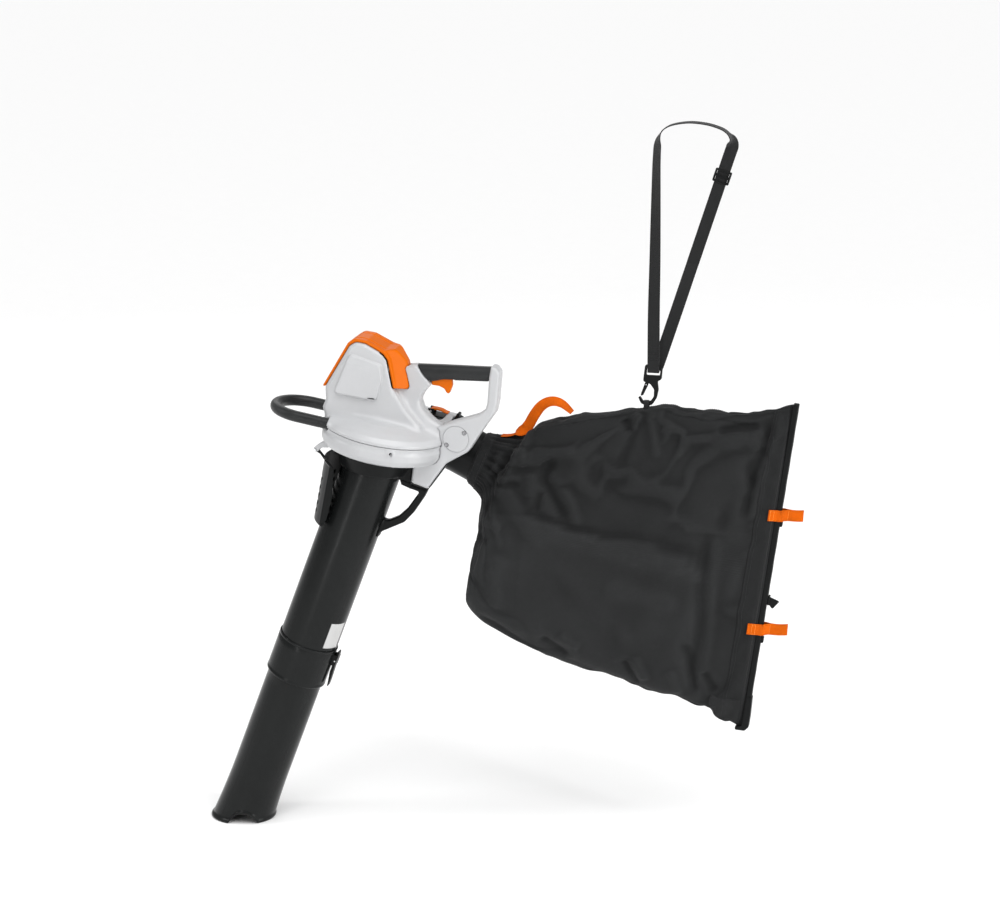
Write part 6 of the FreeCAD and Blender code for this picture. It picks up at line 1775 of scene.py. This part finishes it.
# the fold round the hook's bar, and its sewn overlap
c = spline([(YF, 30), (YF, 16), (YF, 8.5), (YF + 0.9, 6.3), (YF + 2.6, 5.6), (76, 5.4), (YR - 2.4, 5.6), (YR - 0.8, 6.3), (YR, 8.5), (YR, 16), (YR, 30)], 80)
Pm = np.stack([393.3 + 0.0 * c[:, 0], c[:, 0], c[:, 1]], 1)
o = ribbon("strap_fold", Pm, np.tile(np.array([1.0, 0, -0.05]), (len(c), 1)), 22.5, 1.6, M_WEB)
place(o, "strap")
b = Batch()
for zz in (34, 47, 60):
    for x in np.arange(-9.5, 9.6, 2.7):
        stitch(b, (393.1 + x, YF - 1.15, zz), (1, 0, 0), (0, -1, 0), 2.1, 0.3)
for x in (-9.8, 9.8):
    for zz in np.arange(35, 60, 2.7):
        stitch(b, (393.1 + x, YF - 1.15, zz), (0, 0, 1), (0, -1, 0), 2.1, 0.3)
place(b.make("strap_box_stitch", RR, M_THREAD), "strap")
# the slider on the adjustable run
SR0, SR1 = np.array([398.5, 11.0]), np.array([546.5, 478.0])
sd_ = (SR1 - SR0) / np.linalg.norm(SR1 - SR0)
kk = (418.0 - SR0[1]) / (SR1[1] - SR0[1])
SC = np.array([SR0[0] + kk * (SR1[0] - SR0[0]), 81.4, 418.0])
RSL = (roty(math.degrees(math.atan2(sd_[0], sd_[1]))), SC)


def slider_fn(x, y, z):
    f = sdbox(x, y, z, (-17.5, 17.5, -4.0, 4.0, -14, 14), 2.6)
    f = np.maximum(f, -sdbox(x, y, z, (-13.3, 13.3, -1.7, 1.7, -25, 25), 0.3))
    for sg in (-1, 1):
        f = np.maximum(f, -sdbox(x, y, z, (-13.3, 13.3, -9, 9, min(sg * 2.0, sg * 10.5), max(sg * 2.0, sg * 10.5)), 0.8))
    return f


sdf_piece("tri_glide", slider_fn, (-18, -4.5, -14.5), (18, 4.5, 14.5), 0.5, RSL, M_BLACK, "strap_slider", ["strap_slider"])

# =====================================================================
# finishes for the nodes that keep their own shape
# =====================================================================
KEEP = {
    "handle_spine": M_BLACK, "motor_bulkhead": M_FAN, "motor_can": M_MSTEEL, "motor_stator": M_COPPER, "motor_rotor": M_MSTEEL, "upper_bearing": M_STEEL, "lower_bearing": M_STEEL,
    "fan_shaft": M_STEEL, "impeller": M_FAN, "shredder_blade": M_STEEL, "blade_nut": M_SCREW, "controller_board": M_BOARD, "battery_latch_pin": M_STEEL, "battery_contacts": M_COPPER,
    "trigger_pin": M_STEEL, "switch_block": M_BLACK, "trigger_spring": M_STEEL, "outlet_latch_pin": M_STEEL, "tube_latch_pin": M_STEEL, "screen_pin": M_STEEL, "hook_gate_pin": M_STEEL,
}
for n, o in NODES.items():
    if o.hide_render:
        continue
    m_ = KEEP.get(n)
    if m_ is None:
        print("no finish for", n)
        m_ = M_BLACK
    o.data.materials.clear()
    o.data.materials.append(m_)

for m_, lvl in ((M_TUBE, 0.17), (M_BLACK, 0.11), (M_GRIP, 0.24), (M_WEB, 0.15), (M_FAB, 0.10), (M_FABS, 0.10), (M_FABP, 0.10), (M_FABD, 0.10), (M_THREAD, 0.15), (M_BATT, 0.25), (M_FAN, 0.25)):
    for nd in m_.node_tree.nodes:
        if nd.type == "BSDF_PRINCIPLED":
            nd.inputs["Specular IOR Level"].default_value = lvl

# =====================================================================
# floor, light, camera
# =====================================================================
fm = plastic("studio_floor", (0.985, 0.985, 0.985), 0.7, 0.01, var=0.004)
bpy.ops.mesh.primitive_plane_add(size=300, location=(0, 0, -1.0225))
floor = bpy.context.object
floor.name = "floor"
floor.data.materials.append(fm)

w = bpy.data.worlds.new("studio")
bpy.context.scene.world = w
w.use_nodes = True
bg = w.node_tree.nodes["Background"]
bg.inputs["Color"].default_value = (1, 1, 1, 1)
bg.inputs["Strength"].default_value = 0.34

CAM = np.array([1.3951, -5.6824, 1.3412])
az, el = math.radians(13), math.radians(14.5)
fwd = np.array([-math.sin(az) * math.cos(el), math.cos(az) * math.cos(el), -math.sin(el)])
right = np.array([math.cos(az), math.sin(az), 0])
upv = np.cross(right, fwd)


def area(name, loc, target, sx, sy, power, col=(1, 1, 1)):
    d = bpy.data.lights.new(name, "AREA")
    d.shape = "RECTANGLE"
    d.size, d.size_y = sx, sy
    d.energy = power
    d.color = col
    o = bpy.data.objects.new(name, d)
    o.location = loc
    o.rotation_mode = "QUATERNION"
    o.rotation_quaternion = (Vector(target) - Vector(loc)).to_track_quat("-Z", "Y")
    bpy.context.scene.collection.objects.link(o)
    return o


area("key", (-3.5, -1.25, 1.9), (0.2, 0, -0.3), 0.8, 1.6, 30)
area("strip_left", (-1.25, -2.9, 0.1), (-0.3, 0, -0.5), 0.2, 2.8, 14)
area("strip_right", (2.6, -1.0, 0.0), (-0.3, 0, -0.5), 0.26, 2.8, 40)
area("rim", (-1.5, 3.4, 2.2), (0.0, 0, -0.2), 2.4, 1.6, 25)
sund = bpy.data.lights.new("sky", "SUN")
sund.energy = 2.5
sund.angle = math.radians(58)
sun = bpy.data.objects.new("sky", sund)
sun.rotation_mode = "QUATERNION"
sun.rotation_quaternion = Vector((-0.34, 0.44, -1.0)).to_track_quat("-Z", "Y")
bpy.context.scene.collection.objects.link(sun)

cd = bpy.data.cameras.new("camera")
cam = bpy.data.objects.new("camera", cd)
bpy.context.scene.collection.objects.link(cam)
cd.sensor_width = 36.0
cd.sensor_fit = "HORIZONTAL"
cd.lens = 2884.6 / 1000.0 * 36.0
cam.location = CAM
cam.rotation_mode = "QUATERNION"
cam.rotation_quaternion = Vector(fwd).to_track_quat("-Z", "Y")
cd.clip_start, cd.clip_end = 0.1, 100
bpy.context.scene.camera = cam
bpy.context.scene.view_settings.view_transform = "Standard"
bpy.context.scene.view_settings.look = "None"
